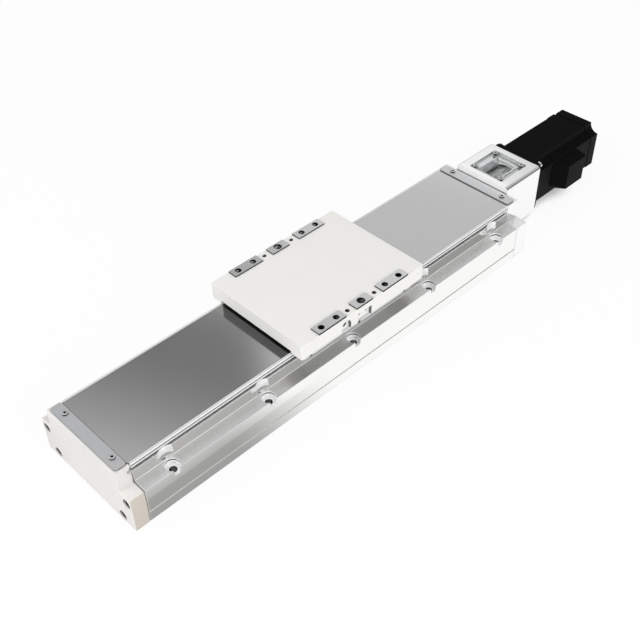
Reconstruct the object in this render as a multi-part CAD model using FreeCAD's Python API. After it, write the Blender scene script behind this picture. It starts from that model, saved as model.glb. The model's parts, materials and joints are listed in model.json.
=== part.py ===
import FreeCAD, Part
import math
import os

# Ball screw linear module with a strip cover and a flange-mounted servo motor.
# Millimetres. X runs along the stroke towards the motor, Z is up and the module lies on Z = 0.
# The origin is under the middle of the overall length.

# Lengths along X, in order from the front end
cap_thickness = 13.2
cap_gap = 1.3
base_length = 455.5
plate_thickness = 16.0
plate_gap = 0.5
housing_length = 54.5
flange_thickness = 5.5
motor_length = 92.5
rear_cover_length = 12.0

# Base extrusion section
shoulder_width = 13.4
shoulder_height = 35.4
shoulder_rise = 1.0
side_crease_height = 25.0
side_lean = 0.7
side_groove_height = 10.6
side_groove_depth = 0.8
side_groove_half_width = 0.7
wall_thickness = 5.6
wall_lean = 0.9
wall_edge_round = 0.8
floor_height = 9.0
bottom_relief_width = 62.0
bottom_relief_depth = 0.8
gap_inset = 1.3
cap_edge_round = 0.6

# Mounting holes through the shoulders
mount_pitch = 100.0
mount_first = 30.5
mount_end_margin = 20.0
mount_edge = 6.2
mount_hole_radius = 3.3
counterbore_radius = 6.3
counterbore_depth = 5.4
scallop_radius = 10.2
scallop_rise = 3.1

# Cover over the channel
slit_gap = 0.4
cover_setback = 0.1
cover_rail_width = 10.0
cover_rail_height = 4.7
cover_rail_lip = 2.2
cover_rail_round = 1.0
cover_rail_groove = 0.5
strip_thickness = 0.4
strip_clearance = 0.1
strip_end_margin = 3.0
clamp_margin = 1.9
clamp_depth = 10.8
clamp_overlap = 0.7
clamp_thickness = 1.2
clamp_corner = 2.5
clamp_screw_setback = 6.5
clamp_screw_inset = 11.9
end_notch_radius = 3.2
end_notch_depth = 3.0

# Linear guides
rail_spacing = 52.0
rail_width = 12.0
rail_height = 8.0
rail_waist = 1.0
rail_seat_depth = 1.0
rail_seat_clearance = 0.1
rail_end_margin = 6.0
rail_screw_pitch = 60.0
rail_counterbore_depth = 4.0
block_width = 27.0
block_length = 45.4
block_height = 10.0
block_lift = 3.0
block_wall_clearance = 1.5
block_end_margin = 5.0
block_screw_x_spacing = 20.0
block_screw_y_spacing = 16.0
block_screw_seat = 6.0
block_screw_bite = 4.0
seal_thickness = 2.5
guide_clearance = 0.3

# Carriage
carriage_offset = 12.75
table_length = 150.0
table_overhang = 10.9
table_thickness = 13.0
table_strip_gap = 2.6
table_skirt_drop = 0.9
table_cheek_gap = 0.6
table_cheek_bevel = 2.4
table_corner_round = 1.5
table_edge_round = 1.6
tongue_thickness = 2.2
arm_width = 1.8
arm_flange_width = 8.6
saddle_length = 132.0
saddle_nose = 70.0
saddle_roof = 5.3
saddle_wall_clearance = 2.5
saddle_slot_width = 17.0
pad_width = 10.0
pad_thickness = 1.8
pad_rise = 1.2
pad_long = 32.2
pad_short = 20.0
pad_centre = 38.5
load_outer_spacing = 95.0
load_inner_spacing = 60.0
load_hole_radius = 2.5
load_hole_depth = 14.0
load_centre_radius = 3.4
load_centre_depth = 10.0
dowel_spacing = 33.0
dowel_radius = 2.1
dowel_depth = 7.0
hole_chamfer = 0.5
side_pocket_depth = 3.0
flag_pocket_width = 16.5
flag_pocket_height = 10.0
flag_hole_spacing = 8.2
flag_hole_rise = 6.2
flag_hole_radius = 1.25
flag_hole_depth = 5.0
grease_pocket_radius = 5.5
grease_pocket_offset = 22.4
grease_rise = 5.9
grease_hole_radius = 2.4
grease_hole_depth = 7.0
grease_nipple_inset = 1.2
grease_mouth_radius = 1.2
table_screw_count = 3
table_screw_end = 8.0
table_screw_depth = 4.0

# Ball screw, nut and support bearings
axis_height = 32.5
screw_radius = 8.0
screw_shoulder_radius = 7.0
journal_radius = 5.0
thread_end_margin = 5.5
nut_radius = 12.5
nut_length = 40.0
nut_flange_radius = 21.0
nut_flange_height = 26.0
nut_flange_thickness = 8.0
nut_clearance = 0.3
nut_screw_y = 16.8
nut_screw_z = 6.0
nut_screw_depth = 12.0
bearing_radius = 13.0
bearing_width = 8.0
bearing_ring = 2.5
bearing_shield = 1.0
bearing_fit = 0.05
running_gap = 0.3
front_bearing_setback = 0.2
rear_bearing_web = 3.0
rear_bore_radius = 9.0
retainer_radius = 19.0
retainer_thickness = 3.0
lock_nut_radius = 10.0
lock_nut_nose = 1.0
lock_nut_thickness = 6.0
lock_nut_flat_cut = 1.2
bumper_radius = 6.0
bumper_length = 8.0
bumper_y = 24.0
bumper_height = 38.0

# Coupling between screw and motor
hub_radius = 17.0
hub_length = 12.5
hub_gap = 1.0
hub_slit = 1.2
hub_screw_offset = 11.5
jaw_length = 7.5
jaw_count = 3
jaw_angle = 40.0
jaw_inner_radius = 6.5
spider_gap = 0.3
spider_bore_radius = 4.0
shaft_setback = 1.0

# Coupling housing and window
housing_width = 64.4
housing_rise = 29.6
housing_drop = 28.0
housing_round = 4.2
housing_foot_bevel = 2.5
housing_bore_radius = 21.5
window_size = 41.0
window_offset = 1.0
window_corner = 2.0
window_recess = 2.2
window_thickness = 2.0
window_clearance = 0.15
window_opening_length = 32.0
window_opening_width = 25.0
window_screw_inset = 4.0
housing_screw_y = 25.6
housing_screw_z = 10.0
housing_screw_bite = 8.0
housing_screw_seat = 4.3

# Servo motor
motor_flange_size = 60.0
motor_flange_round = 8.0
motor_pilot_length = 2.5
motor_size = 57.0
motor_notch_clearance = 1.3
motor_cover_step = 0.4
motor_screw_inset = 5.25
motor_bore_radius = 22.5
motor_end_wall = 4.0
rotor_radius = 21.7
rotor_end_gap = 5.0
motor_shaft_radius = 7.0
motor_tail_radius = 5.0
motor_bearing_radius = 13.0
motor_rear_bearing_radius = 11.0
motor_bearing_width = 4.0
cover_wall = 1.5
motor_cover_chamfer = 0.5
cover_bore_radius = 21.0
encoder_disc_radius = 15.0
encoder_disc_thickness = 1.0
encoder_disc_gap = 3.0
encoder_board_thickness = 1.2
encoder_board_gap = 2.5
encoder_board_hole = 8.0
connector_start = 22.0
connector_length = 45.0
connector_height = 33.0
connector_depth = 12.5
connector_front_slope = 14.0
connector_draft = 1.8
connector_corner = 14.0
connector_head_corner = 2.0
connector_back_draft = 1.0
connector_round = 1.0

# Screws
m3_radius = 1.45
m3_head_radius = 2.75
m3_head_height = 3.0
m3_low_head_height = 1.2
m4_radius = 1.95
m4_head_radius = 3.4
m4_head_height = 4.0
m4_low_head_height = 2.6
m5_radius = 2.45
m5_head_radius = 4.25
m5_head_height = 5.0
thread_fit = 0.05
hole_clearance = 0.3
head_clearance = 0.3
socket_ratio = 1.6
socket_depth_ratio = 0.6
end_screw_upper_drop = 7.4
end_screw_upper_edge = 6.0
end_screw_lower_height = 5.6
end_screw_lower_edge = 15.5
end_screw_head_depth = 6.0
end_screw_bite = 12.0
small_screw_bite = 5.0
overrun = 1.0

# Derived stations along X
overall_length = (cap_thickness + cap_gap + base_length + plate_thickness + housing_length
                  + flange_thickness + motor_length + rear_cover_length)
front_x = -overall_length / 2
cap_back_x = front_x + cap_thickness
body_front_x = cap_back_x + cap_gap
body_back_x = body_front_x + base_length
plate_back_x = body_back_x + plate_thickness
housing_back_x = plate_back_x + housing_length
flange_back_x = housing_back_x + flange_thickness
motor_back_x = flange_back_x + motor_length
rear_x = motor_back_x + rear_cover_length
carriage_x = (body_front_x + body_back_x) / 2 + carriage_offset
table_front_x = carriage_x - table_length / 2
table_back_x = carriage_x + table_length / 2
saddle_front_x = carriage_x - saddle_nose
saddle_back_x = saddle_front_x + saddle_length
nut_back_x = saddle_back_x + nut_flange_thickness
front_bearing_x = body_front_x - front_bearing_setback - bearing_width
rear_bearing_x = body_back_x + rear_bearing_web
rear_bearing_end_x = rear_bearing_x + 2 * bearing_width
retainer_end_x = rear_bearing_end_x + retainer_thickness
lock_nut_x = retainer_end_x + lock_nut_nose
lock_nut_end_x = lock_nut_x + lock_nut_thickness
screw_hub_x = lock_nut_end_x + hub_gap
jaw_front_x = screw_hub_x + hub_length
jaw_back_x = jaw_front_x + jaw_length + spider_gap
motor_hub_end_x = jaw_back_x + hub_length
window_x = (plate_back_x + housing_back_x) / 2 - window_offset
grease_x = carriage_x - grease_pocket_offset
encoder_disc_x = motor_back_x + encoder_disc_gap
encoder_disc_end_x = encoder_disc_x + encoder_disc_thickness

# Derived half widths, from the guides outwards
rail_y = rail_spacing / 2
channel_half = rail_y + block_width / 2 + block_wall_clearance
foot_half = channel_half + wall_thickness
base_half = foot_half + shoulder_width
saddle_half = channel_half - saddle_wall_clearance

# Derived heights, from the floor upwards
foot_height = shoulder_height + shoulder_rise
counterbore_floor = shoulder_height - counterbore_depth
scallop_floor = foot_height + scallop_rise
rail_base = floor_height - rail_seat_depth
rail_top = rail_base + rail_height
block_bottom = rail_base + block_lift
block_top = block_bottom + block_height
tongue_top = axis_height + nut_radius + saddle_roof
tongue_bottom = tongue_top - tongue_thickness
wall_height = tongue_bottom - slit_gap
cover_bottom = tongue_top + slit_gap
slit_height = cover_bottom - wall_height
top_height = cover_bottom + cover_rail_height
strip_bottom = top_height - strip_thickness
table_skirt = top_height - table_skirt_drop
table_ceiling = top_height + table_strip_gap
table_top = table_ceiling + table_thickness
pad_top = table_top + pad_rise
pad_bottom = pad_top - pad_thickness
flag_pocket_top = table_skirt + flag_pocket_height
flag_hole_height = table_skirt + flag_hole_rise
grease_height = table_skirt + grease_rise
housing_bottom = axis_height - housing_drop
housing_top = axis_height + housing_rise
window_floor = housing_top - window_recess
window_top = window_floor + window_thickness
end_screw_upper_height = shoulder_height - end_screw_upper_drop

# Derived half widths of the cover and the carriage
wall_slope = wall_lean / (top_height - foot_height)
wall_top_half = foot_half - wall_slope * (wall_height - foot_height)
tower_half = foot_half - wall_lean
cover_half = tower_half - cover_setback
strip_half = cover_half - cover_rail_lip - strip_clearance
clamp_half = strip_half + clamp_overlap
cheek_half = cover_half + table_cheek_gap
table_half = foot_half + table_overhang
arm_half = cheek_half + arm_width
arm_flange_half = cheek_half + arm_flange_width
arm_screw_y = (arm_half + arm_flange_half) / 2
load_y = table_half - pad_width / 2

# Derived places round the screw axis
retainer_screw_circle = (bearing_radius + retainer_radius) / 2
motor_screw_half = motor_flange_size / 2 - motor_screw_inset
motor_notch_reach = (motor_size / 2 - motor_screw_half) * math.sqrt(2)
motor_notch_radius = motor_notch_reach + m4_head_radius + motor_notch_clearance
motor_cover_size = motor_size + 2 * motor_cover_step

# Derived hole radii for the screws
m3_tap = m3_radius + thread_fit
m4_tap = m4_radius + thread_fit
m5_tap = m5_radius + thread_fit
m3_clear = m3_radius + hole_clearance
m4_clear = m4_radius + hole_clearance
m5_clear = m5_radius + hole_clearance
m3_seat = m3_head_radius + head_clearance
m4_seat = m4_head_radius + head_clearance
m5_seat = m5_head_radius + head_clearance

SIDES = (-1, 1)
EPS = 0.01
X = FreeCAD.Vector(1, 0, 0)
Y = FreeCAD.Vector(0, 1, 0)
Z = FreeCAD.Vector(0, 0, 1)


def point(x, y, z):
    return FreeCAD.Vector(x, y, z)


def block(x0, x1, y0, y1, z0, z1):
    """Box between two values on each axis."""
    return Part.makeBox(x1 - x0, y1 - y0, z1 - z0, point(x0, y0, z0))


def rod_x(radius, x0, x1, y=0.0, z=axis_height):
    """Round bar along X, on the screw axis unless placed elsewhere."""
    return Part.makeCylinder(radius, x1 - x0, point(x0, y, z), X)


def rod_y(radius, y0, y1, x, z):
    return Part.makeCylinder(radius, y1 - y0, point(x, y0, z), Y)


def rod_z(radius, z0, z1, x, y):
    return Part.makeCylinder(radius, z1 - z0, point(x, y, z0), Z)


def bore_x(radius, x0, x1, y=0.0, z=axis_height):
    """Cutter along X that runs past both ends."""
    return rod_x(radius, x0 - overrun, x1 + overrun, y, z)


def bore_z(radius, z0, z1, x, y):
    """Cutter along Z that runs past both ends."""
    return rod_z(radius, z0 - overrun, z1 + overrun, x, y)


def drill(radius, depth, face, into):
    """Cutter of a given depth from a point on a face, in the direction into the material."""
    return Part.makeCylinder(radius, depth + overrun, face - into * overrun, into)


def ring_x(outer, inner, x0, x1):
    """Plain ring on the screw axis."""
    return rod_x(outer, x0, x1).cut(bore_x(inner, x0, x1))


def prism_x(outline, x0, x1):
    """Extrusion along X of a closed (y, z) outline."""
    corners = [point(x0, y, z) for y, z in outline]
    return Part.Face(Part.makePolygon(corners + corners[:1])).extrude(X * (x1 - x0))


def mirrored(half):
    """Closed outline from its half at positive y, given from one centre point to the other."""
    return half + [(-y, z) for y, z in reversed(half) if y > EPS]


def spun(outline):
    """Solid of revolution about the screw axis from (x, radius) corners."""
    corners = [point(x, 0, axis_height + radius) for x, radius in outline]
    face = Part.Face(Part.makePolygon(corners + corners[:1]))
    return face.revolve(point(0, 0, axis_height), X, 360)


def near(value, target):
    return abs(value - target) < EPS


def edges_where(shape, test):
    """Edges whose end points and middle all satisfy the test."""
    found = []
    for edge in shape.Edges:
        middle = edge.valueAt((edge.FirstParameter + edge.LastParameter) / 2)
        places = [vertex.Point for vertex in edge.Vertexes] + [middle]
        if all(test(place) for place in places):
            found.append(edge)
    return found


def rounded_plate(x0, x1, y0, y1, z0, z1, radius):
    """Box with its four upright edges rounded."""
    plate = block(x0, x1, y0, y1, z0, z1)
    upright = [edge for edge in plate.Edges if near(edge.BoundBox.ZLength, z1 - z0)]
    return plate.makeFillet(radius, upright)


def screw(radius, head_radius, head_height, length, seat, out):
    """Socket head screw: seat is under the head, out points away from the thread."""
    shank = Part.makeCylinder(radius, length, point(0, 0, -length), Z)
    head = Part.makeCylinder(head_radius, head_height)
    corner = socket_ratio * radius / math.sqrt(3)
    turns = [math.radians(60 * side) for side in range(6)]
    hexagon = [point(corner * math.cos(a), corner * math.sin(a), head_height) for a in turns]
    depth = socket_depth_ratio * head_height
    socket = Part.Face(Part.makePolygon(hexagon + hexagon[:1])).extrude(Z * -depth)
    body = head.fuse(shank).removeSplitter().cut(socket)
    body.Placement = FreeCAD.Placement(seat, FreeCAD.Rotation(Z, out))
    return body


def m3_screw(length, seat, out, head_height=m3_head_height):
    return screw(m3_radius, m3_head_radius, head_height, length, seat, out)


def m4_screw(length, seat, out, head_height=m4_head_height):
    return screw(m4_radius, m4_head_radius, head_height, length, seat, out)


def m5_screw(length, seat, out):
    return screw(m5_radius, m5_head_radius, m5_head_height, length, seat, out)


def end_screw_places():
    """The four (y, z) places of the screws at each end of the extrusion."""
    upper = base_half - end_screw_upper_edge
    lower = base_half - end_screw_lower_edge
    heights = ((upper, end_screw_upper_height), (lower, end_screw_lower_height))
    return [(side * y, z) for side in SIDES for y, z in heights]


def mount_places():
    """The (x, y) places of the mounting holes in the shoulders."""
    usable = base_length - mount_first - mount_end_margin
    count = int(usable // mount_pitch) + 1
    first = body_front_x + mount_first
    y = base_half - mount_edge
    return [(first + i * mount_pitch, side * y) for i in range(count) for side in SIDES]


def rail_screw_places():
    """The (x, y) places of the guide rail screws, centred on the extrusion."""
    usable = base_length - 2 * rail_end_margin - rail_screw_pitch / 2
    count = int(usable // rail_screw_pitch) + 1
    first = (body_front_x + body_back_x - (count - 1) * rail_screw_pitch) / 2
    return [(first + i * rail_screw_pitch, side * rail_y) for i in range(count) for side in SIDES]


def strip_screw_places(plate_x):
    """The two (x, y) places of the strip clamp screws on an end plate that starts at plate_x."""
    x = plate_x + clamp_margin + clamp_screw_setback
    return [(x, side * (strip_half - clamp_screw_inset)) for side in SIDES]


def retainer_screw_places():
    turns = [math.radians(45 + 90 * i) for i in range(4)]
    radius = retainer_screw_circle
    return [(radius * math.cos(a), axis_height + radius * math.sin(a)) for a in turns]


def housing_screw_places():
    return [(sy * housing_screw_y, axis_height + sz * housing_screw_z) for sy in SIDES for sz in SIDES]


def window_screw_places():
    half = window_size / 2 - window_screw_inset
    return [(window_x + sx * half, sy * half) for sx in SIDES for sy in SIDES]


def motor_screw_places():
    half = motor_screw_half
    return [(sy * half, axis_height + sz * half) for sy in SIDES for sz in SIDES]


def nut_screw_places():
    return [(sy * nut_screw_y, axis_height + sz * nut_screw_z) for sy in SIDES for sz in SIDES]


def table_screw_places():
    """The (x, y) places of the screws that join the saddle's wings to the table."""
    first = saddle_front_x + table_screw_end
    step = (saddle_length - 2 * table_screw_end) / (table_screw_count - 1)
    return [(first + i * step, side * arm_screw_y) for i in range(table_screw_count) for side in SIDES]


def block_stations():
    """Front ends of the guide blocks along the saddle."""
    return [saddle_front_x + block_end_margin, saddle_back_x - block_end_margin - block_length]


def block_screw_places():
    """The (x, y) places of the screws that hold the saddle on the guide blocks."""
    places = []
    for start in block_stations():
        for side in SIDES:
            x = start + block_length / 2
            y = side * rail_y
            for sx in SIDES:
                for sy in SIDES:
                    places.append((x + sx * block_screw_x_spacing / 2, y + sy * block_screw_y_spacing / 2))
    return places


def module_outline(inset=0.0):
    """End view shared by the front cap and the rear plate."""
    return mirrored([
        (0.0, inset),
        (base_half - inset, inset),
        (base_half - inset, side_crease_height),
        (base_half - side_lean - inset, shoulder_height - inset),
        (foot_half - inset, foot_height - inset),
        (tower_half - inset, top_height - inset),
        (0.0, top_height - inset),
    ])


def extrusion_outline():
    """Section of the base: open channel, rail seats, shoulders, side grooves and bottom relief."""
    seat_half = rail_width / 2 + rail_seat_clearance
    return mirrored([
        (0.0, bottom_relief_depth),
        (bottom_relief_width / 2, bottom_relief_depth),
        (bottom_relief_width / 2, 0.0),
        (base_half, 0.0),
        (base_half, side_groove_height - side_groove_half_width),
        (base_half - side_groove_depth, side_groove_height),
        (base_half, side_groove_height + side_groove_half_width),
        (base_half, side_crease_height),
        (base_half - side_lean, shoulder_height),
        (foot_half, foot_height),
        (wall_top_half, wall_height),
        (channel_half, wall_height),
        (channel_half, floor_height),
        (rail_y + seat_half, floor_height),
        (rail_y + seat_half, rail_base),
        (rail_y - seat_half, rail_base),
        (rail_y - seat_half, floor_height),
        (0.0, floor_height),
    ])


def base_extrusion():
    """Channel with counterbored mounting holes and a key clearance in the wall above each."""
    body = prism_x(extrusion_outline(), body_front_x, body_back_x)
    rims = edges_where(body, lambda p: near(p.z, wall_height) and near(abs(p.y), wall_top_half))
    body = body.makeFillet(wall_edge_round, rims)
    cutters = []
    for x, y in mount_places():
        cutters.append(bore_z(mount_hole_radius, 0.0, counterbore_floor, x, y))
        cutters.append(rod_z(counterbore_radius, counterbore_floor, scallop_floor, x, y))
        cutters.append(rod_z(scallop_radius, scallop_floor, wall_height + overrun, x, y))
    depth = end_screw_bite + overrun
    for y, z in end_screw_places():
        cutters.append(drill(m5_tap, depth, point(body_front_x, y, z), X))
        cutters.append(drill(m5_tap, depth, point(body_back_x, y, z), -X))
    for x, y in rail_screw_places():
        cutters.append(drill(m3_tap, small_screw_bite, point(x, y, rail_base), -Z))
    return body.cut(cutters)


def strip_pocket(x0, x1):
    """Shallow seat for an end of the strip."""
    half = strip_half + strip_clearance
    return block(x0, x1, -half, half, strip_bottom, top_height + overrun)


def strip_screw_holes(plate_x):
    """Tapped holes under one strip clamp."""
    faces = [point(x, y, strip_bottom) for x, y in strip_screw_places(plate_x)]
    return [drill(m3_tap, small_screw_bite, face, -Z) for face in faces]


def front_end_cap():
    """Painted end cap with the floating bearing's pocket and counterbored screw holes."""
    plate = prism_x(module_outline(), front_x, cap_back_x)
    plate = plate.makeFillet(cap_edge_round, edges_where(plate, lambda p: near(p.x, front_x)))
    cap = plate.fuse(prism_x(module_outline(gap_inset), cap_back_x, body_front_x)).removeSplitter()
    pocket_depth = bearing_width + 2 * front_bearing_setback
    cutters = [
        drill(bearing_radius + bearing_fit, pocket_depth, point(body_front_x, 0, axis_height), -X),
        strip_pocket(front_x + strip_end_margin - strip_clearance, body_front_x + overrun),
    ]
    for y, z in end_screw_places():
        cutters.append(bore_x(m5_clear, front_x, body_front_x, y, z))
        cutters.append(drill(m5_seat, end_screw_head_depth, point(front_x, y, z), X))
    cutters += strip_screw_holes(front_x)
    for side in SIDES:
        face = point(cap_back_x, side * tower_half, wall_height + slit_height / 2)
        cutters.append(drill(end_notch_radius, end_notch_depth, face, Y * -side))
    return cap.cut(cutters)


def front_cap_screws():
    seat_x = front_x + end_screw_head_depth
    length = body_front_x - seat_x + end_screw_bite
    return Part.makeCompound([m5_screw(length, point(seat_x, y, z), -X) for y, z in end_screw_places()])


def rear_bearing_plate():
    """Rear plate that holds the fixed bearing pair in a boss behind it."""
    plate = prism_x(module_outline(), body_back_x + plate_gap, plate_back_x)
    plate = plate.fuse([
        prism_x(module_outline(gap_inset), body_back_x, body_back_x + plate_gap),
        rod_x(retainer_radius, plate_back_x - overrun, rear_bearing_end_x),
    ]).removeSplitter()
    strip_end_x = body_back_x + clamp_margin + clamp_depth
    cutters = [
        bore_x(rear_bore_radius, body_back_x, rear_bearing_x),
        drill(bearing_radius + bearing_fit, 2 * bearing_width, point(rear_bearing_end_x, 0, axis_height), -X),
        strip_pocket(body_back_x - overrun, strip_end_x + strip_clearance),
    ]
    for y, z in end_screw_places():
        cutters.append(bore_x(m5_clear, body_back_x, plate_back_x, y, z))
        cutters.append(drill(m5_seat, end_screw_head_depth, point(plate_back_x, y, z), -X))
    cutters += strip_screw_holes(body_back_x)
    for y, z in retainer_screw_places():
        cutters.append(drill(m3_tap, small_screw_bite, point(rear_bearing_end_x, y, z), -X))
    for y, z in housing_screw_places():
        cutters.append(drill(m4_tap, housing_screw_bite, point(plate_back_x, y, z), -X))
    return plate.cut(cutters)


def rear_plate_screws():
    seat_x = plate_back_x - end_screw_head_depth
    length = seat_x - body_back_x + end_screw_bite
    return Part.makeCompound([m5_screw(length, point(seat_x, y, z), X) for y, z in end_screw_places()])


def guide_outline(centre_y, base, grow):
    """Waisted section of a guide rail from a base height, grown all round by a clearance."""
    half = rail_width / 2 + grow
    third = rail_height / 3
    waist_height = rail_base + rail_height / 2
    outline = mirrored([
        (0.0, base),
        (half, base),
        (half, rail_base + third),
        (half - rail_waist, waist_height),
        (half, rail_top - third),
        (half, rail_top + grow),
        (0.0, rail_top + grow),
    ])
    return [(centre_y + y, z) for y, z in outline]


def guide_rail(side):
    """Profile rail with counterbored screw holes."""
    outline = guide_outline(side * rail_y, rail_base, 0.0)
    rail = prism_x(outline, body_front_x + rail_end_margin, body_back_x - rail_end_margin)
    cutters = []
    for x, y in rail_screw_places():
        cutters.append(bore_z(m3_clear, rail_base, rail_top, x, y))
        cutters.append(drill(m3_seat, rail_counterbore_depth, point(x, y, rail_top), -Z))
    return rail.cut(cutters)


def rail_screws():
    seat = rail_top - rail_counterbore_depth
    length = seat - rail_base + small_screw_bite
    return Part.makeCompound([m3_screw(length, point(x, y, seat), Z) for x, y in rail_screw_places()])


def cover_rail(side):
    """Bright rail along the edge of the strip, with a ledge for it and a thin groove outside."""
    inner = cover_half - cover_rail_width
    ledge = cover_half - cover_rail_lip
    middle = (cover_bottom + top_height) / 2
    outline = [
        (inner, cover_bottom),
        (cover_half, cover_bottom),
        (cover_half, middle - cover_rail_groove),
        (cover_half - cover_rail_groove, middle),
        (cover_half, middle + cover_rail_groove),
        (cover_half, top_height),
        (ledge, top_height),
        (ledge, strip_bottom),
        (inner, strip_bottom),
    ]
    rail = prism_x([(side * y, z) for y, z in outline], body_front_x, body_back_x)
    rim = edges_where(rail, lambda p: near(p.z, top_height) and near(abs(p.y), cover_half))
    return rail.makeFillet(cover_rail_round, rim)


def dust_strip():
    """Steel strip that closes the channel between the end plates."""
    front = front_x + strip_end_margin
    back = body_back_x + clamp_margin + clamp_depth
    strip = block(front, back, -strip_half, strip_half, strip_bottom, top_height)
    places = strip_screw_places(front_x) + strip_screw_places(body_back_x)
    return strip.cut([bore_z(m3_clear, strip_bottom, top_height, x, y) for x, y in places])


def strip_clamp(plate_x):
    """Plate that holds one end of the strip on the end plate that starts at plate_x."""
    start = plate_x + clamp_margin
    top = top_height + clamp_thickness
    plate = rounded_plate(start, start + clamp_depth, -clamp_half, clamp_half, top_height, top, clamp_corner)
    return plate.cut([bore_z(m3_clear, top_height, top, x, y) for x, y in strip_screw_places(plate_x)])


def strip_clamp_screws():
    seat = top_height + clamp_thickness
    length = clamp_thickness + strip_thickness + small_screw_bite
    places = strip_screw_places(front_x) + strip_screw_places(body_back_x)
    return Part.makeCompound([m3_screw(length, point(x, y, seat), Z, m3_low_head_height) for x, y in places])


def end_bumpers():
    """Rubber stops for the saddle at both ends of the channel."""
    solids = []
    for side in SIDES:
        y = side * bumper_y
        solids.append(rod_x(bumper_radius, body_front_x, body_front_x + bumper_length, y, bumper_height))
        solids.append(rod_x(bumper_radius, body_back_x - bumper_length, body_back_x, y, bumper_height))
    return Part.makeCompound(solids)


def bearing_outer(x):
    """Outer ring with a shield at both faces, open towards the inner ring."""
    inner_edge = journal_radius + bearing_ring + running_gap
    race = bearing_radius - bearing_ring
    end = x + bearing_width
    return spun([
        (x, inner_edge),
        (x, bearing_radius),
        (end, bearing_radius),
        (end, inner_edge),
        (end - bearing_shield, inner_edge),
        (end - bearing_shield, race),
        (x + bearing_shield, race),
        (x + bearing_shield, inner_edge),
    ])


def bearing_inner(x):
    return ring_x(journal_radius + bearing_ring, journal_radius + bearing_fit, x, x + bearing_width)


def rear_bearing_stations():
    return [rear_bearing_x, rear_bearing_x + bearing_width]


def bearing_retainer():
    """Ring that keeps the fixed bearings in their pocket."""
    hole = journal_radius + bearing_ring + running_gap
    ring = ring_x(retainer_radius, hole, rear_bearing_end_x, retainer_end_x)
    places = retainer_screw_places()
    return ring.cut([bore_x(m3_clear, rear_bearing_end_x, retainer_end_x, y, z) for y, z in places])


def retainer_screws():
    length = retainer_thickness + small_screw_bite
    seats = [point(retainer_end_x, y, z) for y, z in retainer_screw_places()]
    return Part.makeCompound([m3_screw(length, seat, X, m3_low_head_height) for seat in seats])


def coupling_housing():
    """Box between rear plate and motor, with a window over the coupling."""
    half = housing_width / 2
    box = block(plate_back_x, housing_back_x, -half, half, housing_bottom, housing_top)
    rims = edges_where(box, lambda p: near(p.z, housing_top) and near(abs(p.y), half))
    box = box.makeFillet(housing_round, rims)
    feet = edges_where(box, lambda p: near(p.z, housing_bottom) and near(abs(p.y), half))
    box = box.makeChamfer(housing_foot_bevel, feet)
    cutters = [
        bore_x(housing_bore_radius, plate_back_x, housing_back_x),
        window_plate(window_size, window_size, window_floor, housing_top + overrun),
        window_plate(window_opening_length, window_opening_width, axis_height, housing_top),
    ]
    for x, y in window_screw_places():
        cutters.append(drill(m3_tap, small_screw_bite, point(x, y, window_floor), -Z))
    for y, z in housing_screw_places():
        cutters.append(bore_x(m4_clear, plate_back_x, housing_back_x, y, z))
        cutters.append(drill(m4_seat, housing_screw_seat, point(housing_back_x, y, z), -X))
    for y, z in motor_screw_places():
        cutters.append(drill(m4_tap, end_screw_bite + overrun, point(housing_back_x, y, z), -X))
    return box.cut(cutters)


def window_plate(length, width, z0, z1):
    """Plate with rounded corners over the coupling."""
    x0 = window_x - length / 2
    return rounded_plate(x0, x0 + length, -width / 2, width / 2, z0, z1, window_corner)


def housing_screws():
    seat_x = housing_back_x - housing_screw_seat
    length = seat_x - plate_back_x + housing_screw_bite
    return Part.makeCompound([m4_screw(length, point(seat_x, y, z), X) for y, z in housing_screw_places()])


def window_cover():
    """Clear plate in the recess of the coupling housing."""
    size = window_size - 2 * window_clearance
    cover = window_plate(size, size, window_floor, window_top)
    return cover.cut([bore_z(m3_clear, window_floor, window_top, x, y) for x, y in window_screw_places()])


def window_screws():
    length = window_thickness + small_screw_bite
    seats = [point(x, y, window_top) for x, y in window_screw_places()]
    return Part.makeCompound([m3_screw(length, seat, Z, m3_low_head_height) for seat in seats])


def motor_flange():
    """Square mounting flange with a round pilot and the front motor bearing's pocket."""
    half = motor_flange_size / 2
    plate = block(housing_back_x, flange_back_x, -half, half, axis_height - half, axis_height + half)
    corners = [edge for edge in plate.Edges if near(edge.BoundBox.XLength, flange_thickness)]
    plate = plate.makeFillet(motor_flange_round, corners)
    pilot_x = housing_back_x - motor_pilot_length
    pilot = rod_x(housing_bore_radius - bearing_fit, pilot_x, housing_back_x + overrun)
    flange = plate.fuse(pilot).removeSplitter()
    back = point(flange_back_x, 0, axis_height)
    cutters = [
        bore_x(motor_shaft_radius + running_gap, pilot_x, flange_back_x),
        drill(motor_bearing_radius + bearing_fit, motor_bearing_width, back, -X),
    ]
    cutters += [bore_x(m4_clear, housing_back_x, flange_back_x, y, z) for y, z in motor_screw_places()]
    return flange.cut(cutters)


def motor_screws():
    length = flange_thickness + end_screw_bite
    return Part.makeCompound([m4_screw(length, point(flange_back_x, y, z), X) for y, z in motor_screw_places()])


def motor_shell(size, x0, x1):
    """Square bar with a hollow round along each corner."""
    half = size / 2
    bar = block(x0, x1, -half, half, axis_height - half, axis_height + half)
    corners = [(sy * half, axis_height + sz * half) for sy in SIDES for sz in SIDES]
    return bar.cut([bore_x(motor_notch_radius, x0, x1, y, z) for y, z in corners])


def motor_body():
    """Stator housing with the rear bearing in its end wall."""
    body = motor_shell(motor_size, flange_back_x, motor_back_x)
    wall_x = motor_back_x - motor_end_wall
    front = point(flange_back_x, 0, axis_height)
    return body.cut([
        drill(motor_bore_radius, wall_x - flange_back_x, front, X),
        bore_x(motor_rear_bearing_radius + bearing_fit, wall_x, motor_back_x),
    ])


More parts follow.
